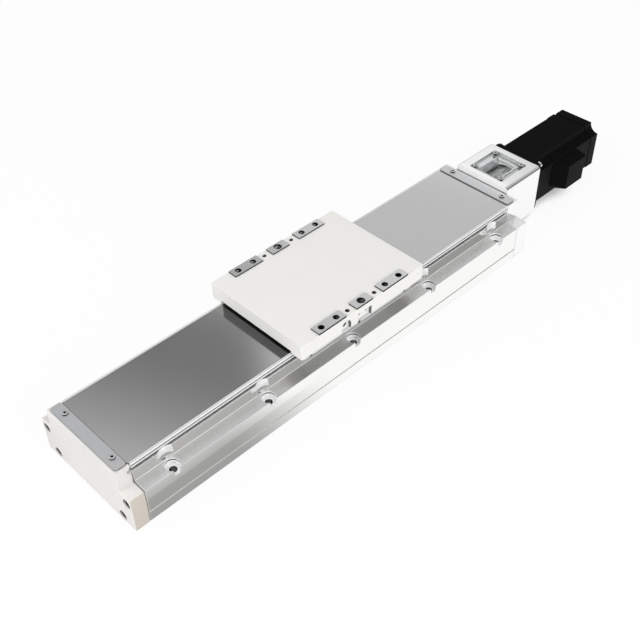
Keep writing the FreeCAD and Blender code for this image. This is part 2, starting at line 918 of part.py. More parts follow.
def motor_rear_cover():
    """Cup over the encoder at the back of the motor."""
    cover = motor_shell(motor_cover_size, motor_back_x, rear_x)
    rim = edges_where(cover, lambda p: near(p.x, rear_x))
    cover = cover.makeChamfer(motor_cover_chamfer, rim)
    depth = rear_cover_length - cover_wall
    return cover.cut(drill(cover_bore_radius, depth, point(motor_back_x, 0, axis_height), X))


def motor_connector():
    """Drafted cable outlet block on the side of the motor, with a long slope at its front."""
    x0 = flange_back_x + connector_start
    x1 = x0 + connector_length
    low = axis_height - connector_height / 2
    high = axis_height + connector_height / 2
    foot_y = -motor_size / 2
    head_y = foot_y - connector_depth

    def outline(y, x_low, x_high, z_low, z_high, radius):
        """Rectangle with its lower front corner rounded."""
        bulge = radius * (1 - math.sqrt(0.5))
        top = point(x_low, y, z_high)
        start = point(x_low, y, z_low + radius)
        middle = point(x_low + bulge, y, z_low + bulge)
        end = point(x_low + radius, y, z_low)
        corner = Part.Arc(start, middle, end).toShape()
        rest = Part.makePolygon([end, point(x_high, y, z_low), point(x_high, y, z_high), top, start])
        return Part.Wire([corner] + rest.Edges)

    foot = outline(foot_y, x0, x1, low, high, connector_corner)
    head_x0 = x0 + connector_front_slope
    head_x1 = x1 - connector_back_draft
    head_low = low + connector_draft
    head_high = high - connector_draft
    head = outline(head_y, head_x0, head_x1, head_low, head_high, connector_head_corner)
    body = Part.makeLoft([foot, head], True, True)
    outer = edges_where(body, lambda p: near(p.y, head_y))
    return body.makeFillet(connector_round, outer)


def motor_bearings():
    """Front and rear bearings of the motor shaft."""
    front_start = flange_back_x - motor_bearing_width
    rear_start = motor_back_x - motor_end_wall
    front = ring_x(motor_bearing_radius, motor_shaft_radius + bearing_fit, front_start, flange_back_x)
    rear = ring_x(motor_rear_bearing_radius, motor_tail_radius + bearing_fit, rear_start, motor_back_x)
    return Part.makeCompound([front, rear])


def encoder_disc():
    return ring_x(encoder_disc_radius, motor_tail_radius + bearing_fit, encoder_disc_x, encoder_disc_end_x)


def encoder_board():
    start = encoder_disc_end_x + encoder_board_gap
    return ring_x(cover_bore_radius - bearing_fit, encoder_board_hole, start, start + encoder_board_thickness)


def motor_shaft():
    """Shaft from the coupling through the rotor to the encoder."""
    start = jaw_back_x + shaft_setback
    tail_x = motor_back_x - motor_end_wall - shaft_setback
    return spun([
        (start, 0.0),
        (start, motor_shaft_radius),
        (tail_x, motor_shaft_radius),
        (tail_x, motor_tail_radius),
        (encoder_disc_end_x, motor_tail_radius),
        (encoder_disc_end_x, 0.0),
    ])


def motor_rotor():
    start = flange_back_x + rotor_end_gap
    end = motor_back_x - motor_end_wall - rotor_end_gap
    return ring_x(rotor_radius, motor_shaft_radius + bearing_fit, start, end)


def load_hole(offset, side, radius, depth):
    """Threaded hole for the load with a chamfered mouth."""
    x = carriage_x + offset
    y = side * load_y
    mouth = point(x, y, pad_top - hole_chamfer)
    hole = drill(radius, depth, point(x, y, pad_top), -Z)
    return hole.fuse(Part.makeCone(radius, radius + hole_chamfer, hole_chamfer, mouth, Z))


def load_holes():
    """All threaded holes of the pads: two in each long pad and a larger one in each short pad."""
    cutters = []
    for side in SIDES:
        for spacing in (load_outer_spacing, load_inner_spacing):
            for end in SIDES:
                cutters.append(load_hole(end * spacing / 2, side, load_hole_radius, load_hole_depth))
        cutters.append(load_hole(0.0, side, load_centre_radius, load_centre_depth))
    return cutters


def pad_boxes(top):
    """The six pads as plain boxes up to a given height."""
    boxes = []
    for centre, length in ((-pad_centre, pad_long), (0.0, pad_short), (pad_centre, pad_long)):
        x0 = carriage_x + centre - length / 2
        for side in SIDES:
            y0, y1 = sorted((side * table_half, side * (table_half - pad_width)))
            boxes.append(block(x0, x0 + length, y0, y1, pad_bottom, top))
    return boxes


def mounting_pads():
    """Steel pads that carry the load, with their threaded holes."""
    holes = load_holes()
    return Part.makeCompound([box.cut(holes) for box in pad_boxes(pad_top)])


def table_outline():
    """Section of the table: a plate with cheeks beside the cover."""
    return mirrored([
        (0.0, table_ceiling),
        (cheek_half - table_cheek_bevel, table_ceiling),
        (cheek_half, table_ceiling - table_cheek_bevel),
        (cheek_half, table_skirt),
        (table_half, table_skirt),
        (table_half, table_top),
        (0.0, table_top),
    ])


def table_side_pockets():
    """Cutters in the right side: a seat for a sensor flag and a recess round the grease port."""
    floor_y = -table_half + side_pocket_depth
    outside_y = -table_half - overrun
    low = table_skirt - overrun
    flag = flag_pocket_width / 2
    cutters = [block(carriage_x - flag, carriage_x + flag, outside_y, floor_y, low, flag_pocket_top)]
    for side in SIDES:
        face = point(carriage_x + side * flag_hole_spacing / 2, floor_y, flag_hole_height)
        cutters.append(drill(flag_hole_radius, flag_hole_depth, face, Y))
    left = grease_x - grease_pocket_radius
    right = grease_x + grease_pocket_radius
    cutters.append(rod_y(grease_pocket_radius, outside_y, floor_y, grease_x, grease_height))
    cutters.append(block(left, right, outside_y, floor_y, low, grease_height))
    cutters.append(drill(grease_hole_radius, grease_hole_depth, point(grease_x, floor_y, grease_height), Y))
    return cutters


def carriage_table():
    """Table that straddles the strip, with pad seats, dowel holes and side pockets."""
    table = prism_x(table_outline(), table_front_x, table_back_x)
    upright = edges_where(table, lambda p: near(abs(p.y), table_half))
    corners = [edge for edge in upright if near(edge.BoundBox.XLength, 0.0)]
    table = table.makeFillet(table_corner_round, corners)
    lower = edges_where(table, lambda p: near(p.z, table_skirt) and abs(p.y) > cheek_half + EPS)
    table = table.makeFillet(table_edge_round, lower)
    cutters = pad_boxes(table_top + overrun) + load_holes() + table_side_pockets()
    for sx in SIDES:
        for sy in SIDES:
            face = point(carriage_x + sx * dowel_spacing / 2, sy * load_y, table_top)
            cutters.append(drill(dowel_radius, dowel_depth, face, -Z))
    for x, y in table_screw_places():
        cutters.append(drill(m4_tap, table_screw_depth, point(x, y, table_skirt), Z))
    return table.cut(cutters)


def grease_nipple():
    """Flush grease fitting in the side of the table."""
    floor_y = -table_half + side_pocket_depth
    start = floor_y + grease_nipple_inset
    end = floor_y + grease_hole_depth
    body = rod_y(grease_hole_radius - thread_fit, start, end, grease_x, grease_height)
    mouth_depth = (end - start) / 2
    return body.cut(drill(grease_mouth_radius, mouth_depth, point(grease_x, start, grease_height), Y))


def saddle_outline():
    """Section of the saddle: a block on the guides, thin wings and flanges under the table."""
    return mirrored([
        (0.0, block_top),
        (saddle_half, block_top),
        (saddle_half, tongue_bottom),
        (arm_half, tongue_bottom),
        (arm_half, tongue_top),
        (arm_flange_half, tongue_top),
        (arm_flange_half, table_skirt),
        (cheek_half, table_skirt),
        (cheek_half, tongue_top),
        (0.0, tongue_top),
    ])


def carriage_saddle():
    """Inner saddle whose thin wings leave through the slits and carry the table."""
    saddle = prism_x(saddle_outline(), saddle_front_x, saddle_back_x)
    slot = saddle_slot_width / 2
    front = saddle_front_x - overrun
    back = saddle_back_x + overrun
    cutters = [
        bore_x(nut_radius + bearing_fit, saddle_front_x, saddle_back_x),
        block(front, back, -slot, slot, block_top - overrun, axis_height),
    ]
    for y, z in nut_screw_places():
        cutters.append(drill(m4_tap, nut_screw_depth, point(saddle_back_x, y, z), -X))
    for x, y in table_screw_places():
        cutters.append(bore_z(m4_clear, tongue_top, table_skirt, x, y))
        cutters.append(drill(m4_seat, m4_low_head_height, point(x, y, tongue_top), Z))
    seat = block_top + block_screw_seat
    for x, y in block_screw_places():
        cutters.append(bore_z(m3_clear, block_top, tongue_top, x, y))
        cutters.append(rod_z(m3_seat, seat, tongue_top + overrun, x, y))
    return saddle.cut(cutters)


def table_screws():
    """Low head screws from under the wings into the table."""
    seat = tongue_top + m4_low_head_height
    length = table_skirt - seat + table_screw_depth
    seats = [point(x, y, seat) for x, y in table_screw_places()]
    return Part.makeCompound([m4_screw(length, place, -Z, m4_low_head_height) for place in seats])


def straddle(x0, x1, y):
    """Piece of a guide block that grips a rail with a running clearance."""
    half = block_width / 2
    body = block(x0, x1, y - half, y + half, block_bottom, block_top)
    slot = guide_outline(y, block_bottom - overrun, guide_clearance)
    return body.cut(prism_x(slot, x0 - overrun, x1 + overrun))


def guide_blocks():
    """Four blocks with tapped holes for the saddle's screws."""
    solids = []
    holes = [drill(m3_tap, block_screw_bite, point(x, y, block_top), -Z) for x, y in block_screw_places()]
    for x in block_stations():
        for side in SIDES:
            body = straddle(x + seal_thickness, x + block_length - seal_thickness, side * rail_y)
            solids.append(body.cut(holes))
    return Part.makeCompound(solids)


def block_screws():
    """Screws down through the saddle into the guide blocks."""
    seat = block_top + block_screw_seat
    length = block_screw_seat + block_screw_bite
    return Part.makeCompound([m3_screw(length, point(x, y, seat), Z) for x, y in block_screw_places()])


def block_end_seals():
    """Wiper plates at both ends of each guide block."""
    solids = []
    for x in block_stations():
        for start in (x, x + block_length - seal_thickness):
            for side in SIDES:
                solids.append(straddle(start, start + seal_thickness, side * rail_y))
    return Part.makeCompound(solids)


def ball_nut():
    """Flanged ball nut, its flange flattened above and below."""
    body = rod_x(nut_radius, nut_back_x - nut_length, nut_back_x)
    flange = rod_x(nut_flange_radius, saddle_back_x, nut_back_x)
    low = axis_height - nut_flange_height / 2
    high = axis_height + nut_flange_height / 2
    flats = block(saddle_back_x, nut_back_x, -nut_flange_radius, nut_flange_radius, low, high)
    nut = body.fuse(flange.common(flats)).removeSplitter()
    cutters = [bore_x(screw_radius + nut_clearance, nut_back_x - nut_length, nut_back_x)]
    for y, z in nut_screw_places():
        cutters.append(bore_x(m4_clear, saddle_back_x, nut_back_x, y, z))
        cutters.append(drill(m4_seat, m4_head_height, point(nut_back_x, y, z), -X))
    return nut.cut(cutters)


def nut_screws():
    seat_x = nut_back_x - m4_head_height
    length = seat_x - saddle_back_x + nut_screw_depth
    return Part.makeCompound([m4_screw(length, point(seat_x, y, z), X) for y, z in nut_screw_places()])


def ball_screw():
    """Screw shaft with shoulders at both bearing seats and a journal into the coupling."""
    front_seat = front_bearing_x + bearing_width
    thread_start = body_front_x + thread_end_margin
    thread_end = body_back_x - thread_end_margin
    end = jaw_front_x - shaft_setback
    return spun([
        (front_bearing_x, 0.0),
        (front_bearing_x, journal_radius),
        (front_seat, journal_radius),
        (front_seat, screw_shoulder_radius),
        (thread_start, screw_shoulder_radius),
        (thread_start, screw_radius),
        (thread_end, screw_radius),
        (thread_end, screw_shoulder_radius),
        (rear_bearing_x, screw_shoulder_radius),
        (rear_bearing_x, journal_radius),
        (end, journal_radius),
        (end, 0.0),
    ])


def lock_nut():
    """Nut that clamps the inner rings, with a nose through the retainer and two flats."""
    bore = journal_radius + bearing_fit
    nose = journal_radius + bearing_ring - running_gap
    nut = spun([
        (rear_bearing_end_x, bore),
        (rear_bearing_end_x, nose),
        (lock_nut_x, nose),
        (lock_nut_x, lock_nut_radius),
        (lock_nut_end_x, lock_nut_radius),
        (lock_nut_end_x, bore),
    ])
    reach = lock_nut_radius
    width = lock_nut_radius - lock_nut_flat_cut
    flats = block(rear_bearing_end_x, lock_nut_end_x, -width, width, axis_height - reach, axis_height + reach)
    return nut.common(flats)


def sector_x(radius, x0, x1, start, angle):
    """Sector of a round bar on the screw axis, angles in degrees about X."""
    centre = point(x0, 0, axis_height)
    sector = Part.makeCylinder(radius, x1 - x0, centre, X, angle)
    sector.rotate(centre, X, start)
    return sector


def coupling_hub(x0, x1, jaw_x0, bore, start):
    """Clamping hub with jaws, a slit and a cross hole for its clamp screw."""
    jaw_x1 = jaw_x0 + jaw_length
    turns = [start + i * 360 / jaw_count for i in range(jaw_count)]
    core = bore_x(jaw_inner_radius, jaw_x0, jaw_x1)
    jaws = [sector_x(hub_radius, jaw_x0, jaw_x1, turn, jaw_angle).cut(core) for turn in turns]
    hub = ring_x(hub_radius, bore + bearing_fit, x0, x1).fuse(jaws).removeSplitter()
    half = hub_slit / 2
    top = axis_height + hub_radius + overrun
    slit = block(x0, x1, -half, half, axis_height, top)
    hole = rod_y(m3_tap, -hub_radius, hub_radius, (x0 + x1) / 2, axis_height + hub_screw_offset)
    return hub.cut([slit, hole])


def coupling_screw_hub():
    return coupling_hub(screw_hub_x, jaw_front_x, jaw_front_x, journal_radius, -jaw_angle / 2)


def coupling_motor_hub():
    start = 180 / jaw_count - jaw_angle / 2
    return coupling_hub(jaw_back_x, motor_hub_end_x, jaw_back_x - jaw_length, motor_shaft_radius, start)


def coupling_spider():
    """Elastic star whose legs sit between the jaws of the two hubs."""
    x0 = jaw_front_x + spider_gap
    x1 = jaw_back_x - spider_gap
    pitch = 180 / jaw_count
    margin = math.degrees(spider_gap / jaw_inner_radius)
    width = pitch - jaw_angle - 2 * margin
    starts = [jaw_angle / 2 + margin + i * pitch for i in range(2 * jaw_count)]
    legs = [sector_x(hub_radius - spider_gap, x0, x1, start, width) for start in starts]
    star = rod_x(jaw_inner_radius - spider_gap, x0, x1).fuse(legs).removeSplitter()
    return star.cut(bore_x(spider_bore_radius, x0, x1))


def coupling_clamp_screws():
    """One clamp screw across each hub, flush with its round."""
    half = math.sqrt(hub_radius ** 2 - (hub_screw_offset + m3_radius) ** 2)
    solids = []
    for x0, x1 in ((screw_hub_x, jaw_front_x), (jaw_back_x, motor_hub_end_x)):
        solids.append(rod_y(m3_radius, -half, half, (x0 + x1) / 2, axis_height + hub_screw_offset))
    return Part.makeCompound(solids)


PARTS = {
    "base_extrusion": base_extrusion(),
    "front_end_cap": front_end_cap(),
    "front_cap_screws": front_cap_screws(),
    "rear_bearing_plate": rear_bearing_plate(),
    "rear_plate_screws": rear_plate_screws(),
    "guide_rail_left": guide_rail(1),
    "guide_rail_right": guide_rail(-1),
    "rail_screws": rail_screws(),
    "cover_rail_left": cover_rail(1),
    "cover_rail_right": cover_rail(-1),
    "dust_strip": dust_strip(),
    "front_strip_clamp": strip_clamp(front_x),
    "rear_strip_clamp": strip_clamp(body_back_x),
    "strip_clamp_screws": strip_clamp_screws(),
    "end_bumpers": end_bumpers(),
    "front_bearing_outer_ring": bearing_outer(front_bearing_x),
    "rear_bearing_outer_rings": Part.makeCompound([bearing_outer(x) for x in rear_bearing_stations()]),
    "bearing_retainer": bearing_retainer(),
    "retainer_screws": retainer_screws(),
    "coupling_housing": coupling_housing(),
    "housing_screws": housing_screws(),
    "window_cover": window_cover(),
    "window_screws": window_screws(),
    "motor_flange": motor_flange(),
    "motor_screws": motor_screws(),
    "motor_body": motor_body(),
    "motor_rear_cover": motor_rear_cover(),
    "motor_connector": motor_connector(),
    "motor_bearings": motor_bearings(),
    "encoder_board": encoder_board(),
    "carriage_table": carriage_table(),
    "mounting_pads": mounting_pads(),
    "carriage_saddle": carriage_saddle(),
    "table_screws": table_screws(),
    "guide_blocks": guide_blocks(),
    "block_screws": block_screws(),
    "block_end_seals": block_end_seals(),
    "ball_nut": ball_nut(),
    "nut_screws": nut_screws(),
    "grease_nipple": grease_nipple(),
    "ball_screw": ball_screw(),
    "front_bearing_inner_ring": bearing_inner(front_bearing_x),
    "rear_bearing_inner_rings": Part.makeCompound([bearing_inner(x) for x in rear_bearing_stations()]),
    "lock_nut": lock_nut(),
    "coupling_screw_hub": coupling_screw_hub(),
    "coupling_spider": coupling_spider(),
    "coupling_motor_hub": coupling_motor_hub(),
    "coupling_clamp_screws": coupling_clamp_screws(),
    "motor_shaft": motor_shaft(),
    "motor_rotor": motor_rotor(),
    "encoder_disc": encoder_disc(),
}

os.makedirs("parts", exist_ok=True)
for name, shape in PARTS.items():
    shape.exportStep("parts/" + name + ".step")
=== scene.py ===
import json
import math

import bmesh
import bpy
from mathutils import Matrix, Vector


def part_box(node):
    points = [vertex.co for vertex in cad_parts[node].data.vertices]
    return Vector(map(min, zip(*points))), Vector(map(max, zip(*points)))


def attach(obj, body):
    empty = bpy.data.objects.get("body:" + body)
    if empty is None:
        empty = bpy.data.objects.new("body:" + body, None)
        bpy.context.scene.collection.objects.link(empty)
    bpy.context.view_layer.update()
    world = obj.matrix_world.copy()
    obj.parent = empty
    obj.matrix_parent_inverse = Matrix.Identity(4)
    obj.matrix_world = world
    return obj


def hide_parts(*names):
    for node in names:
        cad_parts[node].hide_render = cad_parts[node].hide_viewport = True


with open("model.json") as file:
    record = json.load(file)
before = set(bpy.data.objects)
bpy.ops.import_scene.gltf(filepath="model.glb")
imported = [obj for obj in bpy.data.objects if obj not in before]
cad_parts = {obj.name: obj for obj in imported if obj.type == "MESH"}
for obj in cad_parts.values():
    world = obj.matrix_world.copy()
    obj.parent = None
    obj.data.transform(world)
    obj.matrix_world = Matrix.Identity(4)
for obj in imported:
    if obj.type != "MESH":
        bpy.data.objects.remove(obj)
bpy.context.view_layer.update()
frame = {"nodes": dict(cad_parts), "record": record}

MM = 0.001


def low_of(node, axis):
    """Where a CAD node begins along an axis, in millimetres."""
    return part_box(node)[0]["XYZ".index(axis)] / MM


def high_of(node, axis):
    """Where a CAD node ends along an axis, in millimetres."""
    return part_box(node)[1]["XYZ".index(axis)] / MM


def middle_of(node, axis):
    return (low_of(node, axis) + high_of(node, axis)) / 2


# Base, rails and end cap, in millimetres
MOUNT_FIRST_X = low_of("base_extrusion", "X") + 30.5
MOUNT_PITCH = 100.0
MOUNT_Y = high_of("base_extrusion", "Y") - 6.2
MOUNT_HOLE_RADIUS = 3.35
COUNTERBORE_RADIUS = 6.35
COUNTERBORE_FLOOR = 30.0
BORE_SHADE_LOW = 33.6
BORE_SHADE_HIGH = 34.8
SCALLOP_RADIUS = 10.25
SCALLOP_FLOOR = 39.5
WALL_FOOT = 36.4
WALL_FOOT_Y = 46.6
CAP_STEP = 36.4
RAIL_GROOVE_HEIGHT = middle_of("cover_rail_left", "Z")
RAIL_LINE_Y = high_of("cover_rail_left", "Y") - 1.0
STRIP_HALF_WIDTH = high_of("dust_strip", "Y")
STRIP_SHADOW_X = high_of("front_strip_clamp", "X") + 0.65

# Carriage table and its pads, in millimetres
TABLE_MIDDLE_X = middle_of("carriage_table", "X")
TABLE_HALF_LENGTH = high_of("carriage_table", "X") - TABLE_MIDDLE_X
TABLE_TOP = high_of("carriage_table", "Z")
POCKET_FLOOR_Y = 54.5
POCKET_REACH_X = 40.0
PAD_TOP = high_of("mounting_pads", "Z")

# End plate and coupling housing, in millimetres
PLATE_TOP = high_of("rear_bearing_plate", "Z")
FOOT_SHADOW_HEIGHT = 0.7
HOUSING_FOOT = PLATE_TOP + 1.6
HOUSING_FRONT_X = low_of("coupling_housing", "X")
MARGIN_FROM_X = HOUSING_FRONT_X + 3.25
MARGIN_TO_X = HOUSING_FRONT_X + 10.25
WINDOW_SEAT_FROM_X = HOUSING_FRONT_X + 4.25
WINDOW_SEAT_FLOOR = low_of("window_cover", "Z") - 0.3
WINDOW_SEAT_HALF = high_of("window_cover", "Y") + 0.65

# Finishes share these: skin per metre, bump depth in metres, and how much brighter an edge is painted, as wear and as
# painted highlight
DEEP_SHADE = (0.02, 0.02, 0.021)
SKIN_SCALE = 900.0
SKIN_DEPTH = 0.1
SKIN_VARIATION = 0.01
SKIN_EDGE = 0.4
BUMP_DISTANCE = 0.0001
EDGE_LIGHT = 1.05


# Node helpers

def place(tree, kind, inputs=None, **settings):
    """Adds a node, sets its properties, and sets or links its inputs."""
    made = tree.nodes.new(kind)
    for key, value in settings.items():
        setattr(made, key, value)
    for key, value in (inputs or {}).items():
        if isinstance(value, bpy.types.NodeSocket):
            tree.links.new(value, made.inputs[key])
        else:
            made.inputs[key].default_value = value
    return made


def math_node(tree, operation, a, b, clamp=False):
    return place(tree, "ShaderNodeMath", {0: a, 1: b}, operation=operation, use_clamp=clamp).outputs[0]


def combined(tree, operation, first, *others):
    """Takes several values together, one after the other."""
    for other in others:
        first = math_node(tree, operation, first, other)
    return first


def product(tree, *values):
    return combined(tree, "MULTIPLY", *values)


def largest(tree, *values):
    return combined(tree, "MAXIMUM", *values)


def absolute(tree, value):
    return math_node(tree, "ABSOLUTE", value, 0.0)


def away(tree, value, middle):
    """Distance to either side of a place given in millimetres."""
    return absolute(tree, math_node(tree, "SUBTRACT", value, middle * MM))


def spread(tree, value, low, high, to_low, to_high):
    """Maps a value from one span to another, held at the ends."""
    inputs = {"Value": value, 1: low, 2: high, 3: to_low, 4: to_high}
    return place(tree, "ShaderNodeMapRange", inputs).outputs["Result"]


def above(tree, value, limit, soft):
    """Mask that comes in over a soft span past a limit, both in millimetres."""
    return spread(tree, value, limit * MM, (limit + soft) * MM, 0.0, 1.0)


def below(tree, value, limit, soft):
    """Mask that goes out over a soft span past a limit, both in millimetres."""
    return spread(tree, value, limit * MM, (limit + soft) * MM, 1.0, 0.0)


def mixed_colour(tree, factor, a, b):
    node = place(tree, "ShaderNodeMix", {"Factor": factor}, data_type="RGBA")
    for name, value in (("A", a), ("B", b)):
        socket = next(s for s in node.inputs if s.name == name and s.type == "RGBA")
        if isinstance(value, bpy.types.NodeSocket):
            tree.links.new(value, socket)
        else:
            socket.default_value = (*value, 1.0)
    return next(s for s in node.outputs if s.type == "RGBA")


def object_axes(tree):
    """X, Y and Z of the place on the object, in metres."""
    where = place(tree, "ShaderNodeTexCoord").outputs["Object"]
    return place(tree, "ShaderNodeSeparateXYZ", {0: where}).outputs


def true_normal_axes(tree):
    normal = place(tree, "ShaderNodeNewGeometry").outputs["True Normal"]
    return place(tree, "ShaderNodeSeparateXYZ", {0: normal}).outputs


def facing(tree, axis, low=0.9, high=0.98):
    """Mask of the faces that look along an axis, to either side."""
    return spread(tree, absolute(tree, true_normal_axes(tree)[axis]), low, high, 0.0, 1.0)


def not_flat(tree):
    """Mask of the faces that do not look up or down."""
    return math_node(tree, "SUBTRACT", 1.0, facing(tree, "Z", 0.6, 0.9))


def slanted(tree):
    """Mask of the faces along X that lean between upright and level."""
    axes = true_normal_axes(tree)
    return spread(tree, absolute(tree, product(tree, axes["Y"], axes["Z"])), 0.1, 0.2, 0.0, 1.0)


# Node groups

def new_group(name, inputs, outputs):
    """An empty shader node group with named float inputs and outputs of given kinds."""
    group = bpy.data.node_groups.new(name, "ShaderNodeTree")
    for label, value in inputs.items():
        socket = group.interface.new_socket(label, in_out="INPUT", socket_type="NodeSocketFloat")
        socket.default_value = value
    for label, kind in outputs.items():
        group.interface.new_socket(label, in_out="OUTPUT", socket_type="NodeSocket" + kind)
    start = group.nodes.new("NodeGroupInput").outputs
    end = group.nodes.new("NodeGroupOutput").inputs
    return group, start, end


def soft_edge_group():
    """Rounds the highlights along machined edges and gives a mask of those edges."""
    group, start, end = new_group("soft_edge", {"Radius": 0.0003}, {"Normal": "Vector", "Edge": "Float"})
    bevel = place(group, "ShaderNodeBevel", {"Radius": start["Radius"]}, samples=6)
    flat = place(group, "ShaderNodeNewGeometry")
    inputs = {0: bevel.outputs[0], 1: flat.outputs["True Normal"]}
    dot = place(group, "ShaderNodeVectorMath", inputs, operation="DOT_PRODUCT")
    edge = spread(group, dot.outputs["Value"], 0.995, 0.86, 0.0, 1.0)
    group.links.new(bevel.outputs[0], end["Normal"])
    group.links.new(edge, end["Edge"])
    return group


def drawn_grain_group():
    """Fine lines along X, as a drawn profile, a rolled strip or a ground face shows them."""
    inputs = {"Along": 12.0, "Across": 1800.0}
    group, start, end = new_group("drawn_grain", inputs, {"Line": "Float", "Cloud": "Float"})
    where = place(group, "ShaderNodeTexCoord").outputs["Object"]
    scale = place(group, "ShaderNodeCombineXYZ", {0: start["Along"], 1: start["Across"], 2: start["Across"]})
    stretched = place(group, "ShaderNodeMapping", {"Vector": where, "Scale": scale.outputs[0]})
    inputs = {"Vector": stretched.outputs[0], "Scale": 1.0, "Detail": 3.0, "Roughness": 0.6}
    line = place(group, "ShaderNodeTexNoise", inputs)
    cloud = place(group, "ShaderNodeTexNoise", {"Vector": where, "Scale": 35.0, "Detail": 3.0})
    group.links.new(line.outputs[0], end["Line"])
    group.links.new(cloud.outputs[0], end["Cloud"])
    return group


def skin_group():
    """Even fine texture without direction: paint skin, bead blasting or moulded grain."""
    inputs = {"Scale": SKIN_SCALE}
    group, start, end = new_group("surface_skin", inputs, {"Height": "Float", "Cloud": "Float"})
    where = place(group, "ShaderNodeTexCoord").outputs["Object"]
    inputs = {"Vector": where, "Scale": start["Scale"], "Detail": 2.0, "Roughness": 0.55}
    skin = place(group, "ShaderNodeTexNoise", inputs)
    cloud = place(group, "ShaderNodeTexNoise", {"Vector": where, "Scale": 28.0, "Detail": 4.0})
    group.links.new(skin.outputs[0], end["Height"])
    group.links.new(cloud.outputs[0], end["Cloud"])
    return group


def hollow_group(name, own):
    """Mask of holes, sockets and seams, where shade is painted in; own leaves the neighbours out."""
    group, start, end = new_group(name, {"Reach": 0.006, "From": 0.45, "To": 0.15}, {"Hollow": "Float"})
    inputs = {"Distance": start["Reach"]}
    open_share = place(group, "ShaderNodeAmbientOcclusion", inputs, samples=8, only_local=own).outputs["AO"]
    hollow = spread(group, open_share, start["From"], start["To"], 0.0, 1.0)
    group.links.new(hollow, end["Hollow"])
    return group


SOFT_EDGE = soft_edge_group()
DRAWN_GRAIN = drawn_grain_group()
SKIN = skin_group()
HOLE_SHADE = hollow_group("hole_shade", True)
SEAM_SHADE = hollow_group("seam_shade", False)


def group_outputs(tree, group, inputs):
    """Adds a group to a tree with its inputs set, and gives its outputs."""
    node = place(tree, "ShaderNodeGroup", node_tree=group)
    for key, value in inputs.items():
        node.inputs[key].default_value = value
    return node.outputs


# Finishes

def new_finish(name):
    material = bpy.data.materials.new(name)
    material.use_nodes = True
    return material, material.node_tree, material.node_tree.nodes["Principled BSDF"]


def shade(colour, share):
    return tuple(min(1.0, c * share) for c in colour)


def bumped(tree, shader, height, strength, normal):
    inputs = {"Height": height, "Strength": strength, "Distance": BUMP_DISTANCE, "Normal": normal}
    bump = place(tree, "ShaderNodeBump", inputs)
    tree.links.new(bump.outputs[0], shader.inputs["Normal"])


def hollow_mask(tree, hole, seam=0.0):
    """Painted shade of a finish: its holes of a given reach and its seams with other pieces, in millimetres."""
    mask = group_outputs(tree, HOLE_SHADE, {"Reach": hole * MM, "From": 0.34, "To": 0.12})["Hollow"]
    if seam:
        beside = group_outputs(tree, SEAM_SHADE, {"Reach": seam * MM, "From": 0.5, "To": 0.22})["Hollow"]
        mask = largest(tree, mask, beside)
    return mask


def drawn_metal(name, colour, roughness, along=12.0, across=1800.0, contrast=0.04, depth=0.05,
                metallic=1.0, radius=0.35, edge_metallic=None, hole=6.0):
    """Bare or anodised metal with fine lines along X, brighter on its edges as wear and as painted highlight, and with
    painted shade in its holes.
    """
    material, tree, shader = new_finish(name)
    edge = group_outputs(tree, SOFT_EDGE, {"Radius": radius * MM})
    grain = group_outputs(tree, DRAWN_GRAIN, {"Along": along, "Across": across})
    line = mixed_colour(tree, grain["Line"], shade(colour, 1 - contrast), shade(colour, 1 + contrast))
    cloudy = mixed_colour(tree, spread(tree, grain["Cloud"], 0.3, 0.7, 0.0, 0.25), line, shade(colour, 0.96))
    # edges lighter, as wear and as painted highlight
    worn_and_highlit = mixed_colour(tree, edge["Edge"], cloudy, shade(colour, EDGE_LIGHT))
    # painted shade: holes darken towards DEEP_SHADE
    final = mixed_colour(tree, hollow_mask(tree, hole), worn_and_highlit, DEEP_SHADE)
    tree.links.new(final, shader.inputs["Base Color"])
    rough = spread(tree, grain["Line"], 0.3, 0.7, roughness * 0.85, roughness * 1.2)
    tree.links.new(rough, shader.inputs["Roughness"])
    if edge_metallic is None:
        shader.inputs["Metallic"].default_value = metallic
    else:
        dulled = spread(tree, edge["Edge"], 0.1, 0.8, metallic, edge_metallic)
        tree.links.new(dulled, shader.inputs["Metallic"])
    bumped(tree, shader, grain["Line"], depth, edge["Normal"])
    return material


def skinned(name, colour, roughness, metallic=0.0, specular=0.5, hole=5.0, seam=0.0):
    """Paint, moulded plastic, rubber or blasted metal with an even fine skin, brighter on its edges as wear and as
    painted highlight, and with painted shade in its holes and seams.
    """
    material, tree, shader = new_finish(name)
    edge = group_outputs(tree, SOFT_EDGE, {"Radius": SKIN_EDGE * MM})
    skin = group_outputs(tree, SKIN, {"Scale": SKIN_SCALE})
    tone = mixed_colour(tree, spread(tree, skin["Cloud"], 0.3, 0.7, 0.0, 1.0),
                        shade(colour, 1 - SKIN_VARIATION), shade(colour, 1 + SKIN_VARIATION))
    # edges lighter, as wear and as painted highlight
    worn_and_highlit = mixed_colour(tree, edge["Edge"], tone, shade(colour, EDGE_LIGHT))
    # painted shade: holes and seams darken to a near black tone
    final = mixed_colour(tree, hollow_mask(tree, hole, seam), worn_and_highlit, shade(colour, 0.04))
    tree.links.new(final, shader.inputs["Base Color"])
    rough = spread(tree, skin["Cloud"], 0.3, 0.7, roughness * 0.92, roughness * 1.1)
    tree.links.new(rough, shader.inputs["Roughness"])
    shader.inputs["Metallic"].default_value = metallic
    shader.inputs["Specular IOR Level"].default_value = specular
    bumped(tree, shader, skin["Height"], SKIN_DEPTH, edge["Normal"])
    return material


def lay_over(material, mask, colour):
    """Lays a second colour over a finish where a mask says so."""
    tree = material.node_tree
    socket = tree.nodes["Principled BSDF"].inputs["Base Color"]
    tree.links.new(mixed_colour(tree, mask, socket.links[0].from_socket, colour), socket)


def hold(material, name, operation, value):
    """Holds a linked input of a finish below (MINIMUM) or above (MAXIMUM) a value."""
    tree = material.node_tree
    socket = tree.nodes["Principled BSDF"].inputs[name]
    tree.links.new(math_node(tree, operation, socket.links[0].from_socket, value), socket)


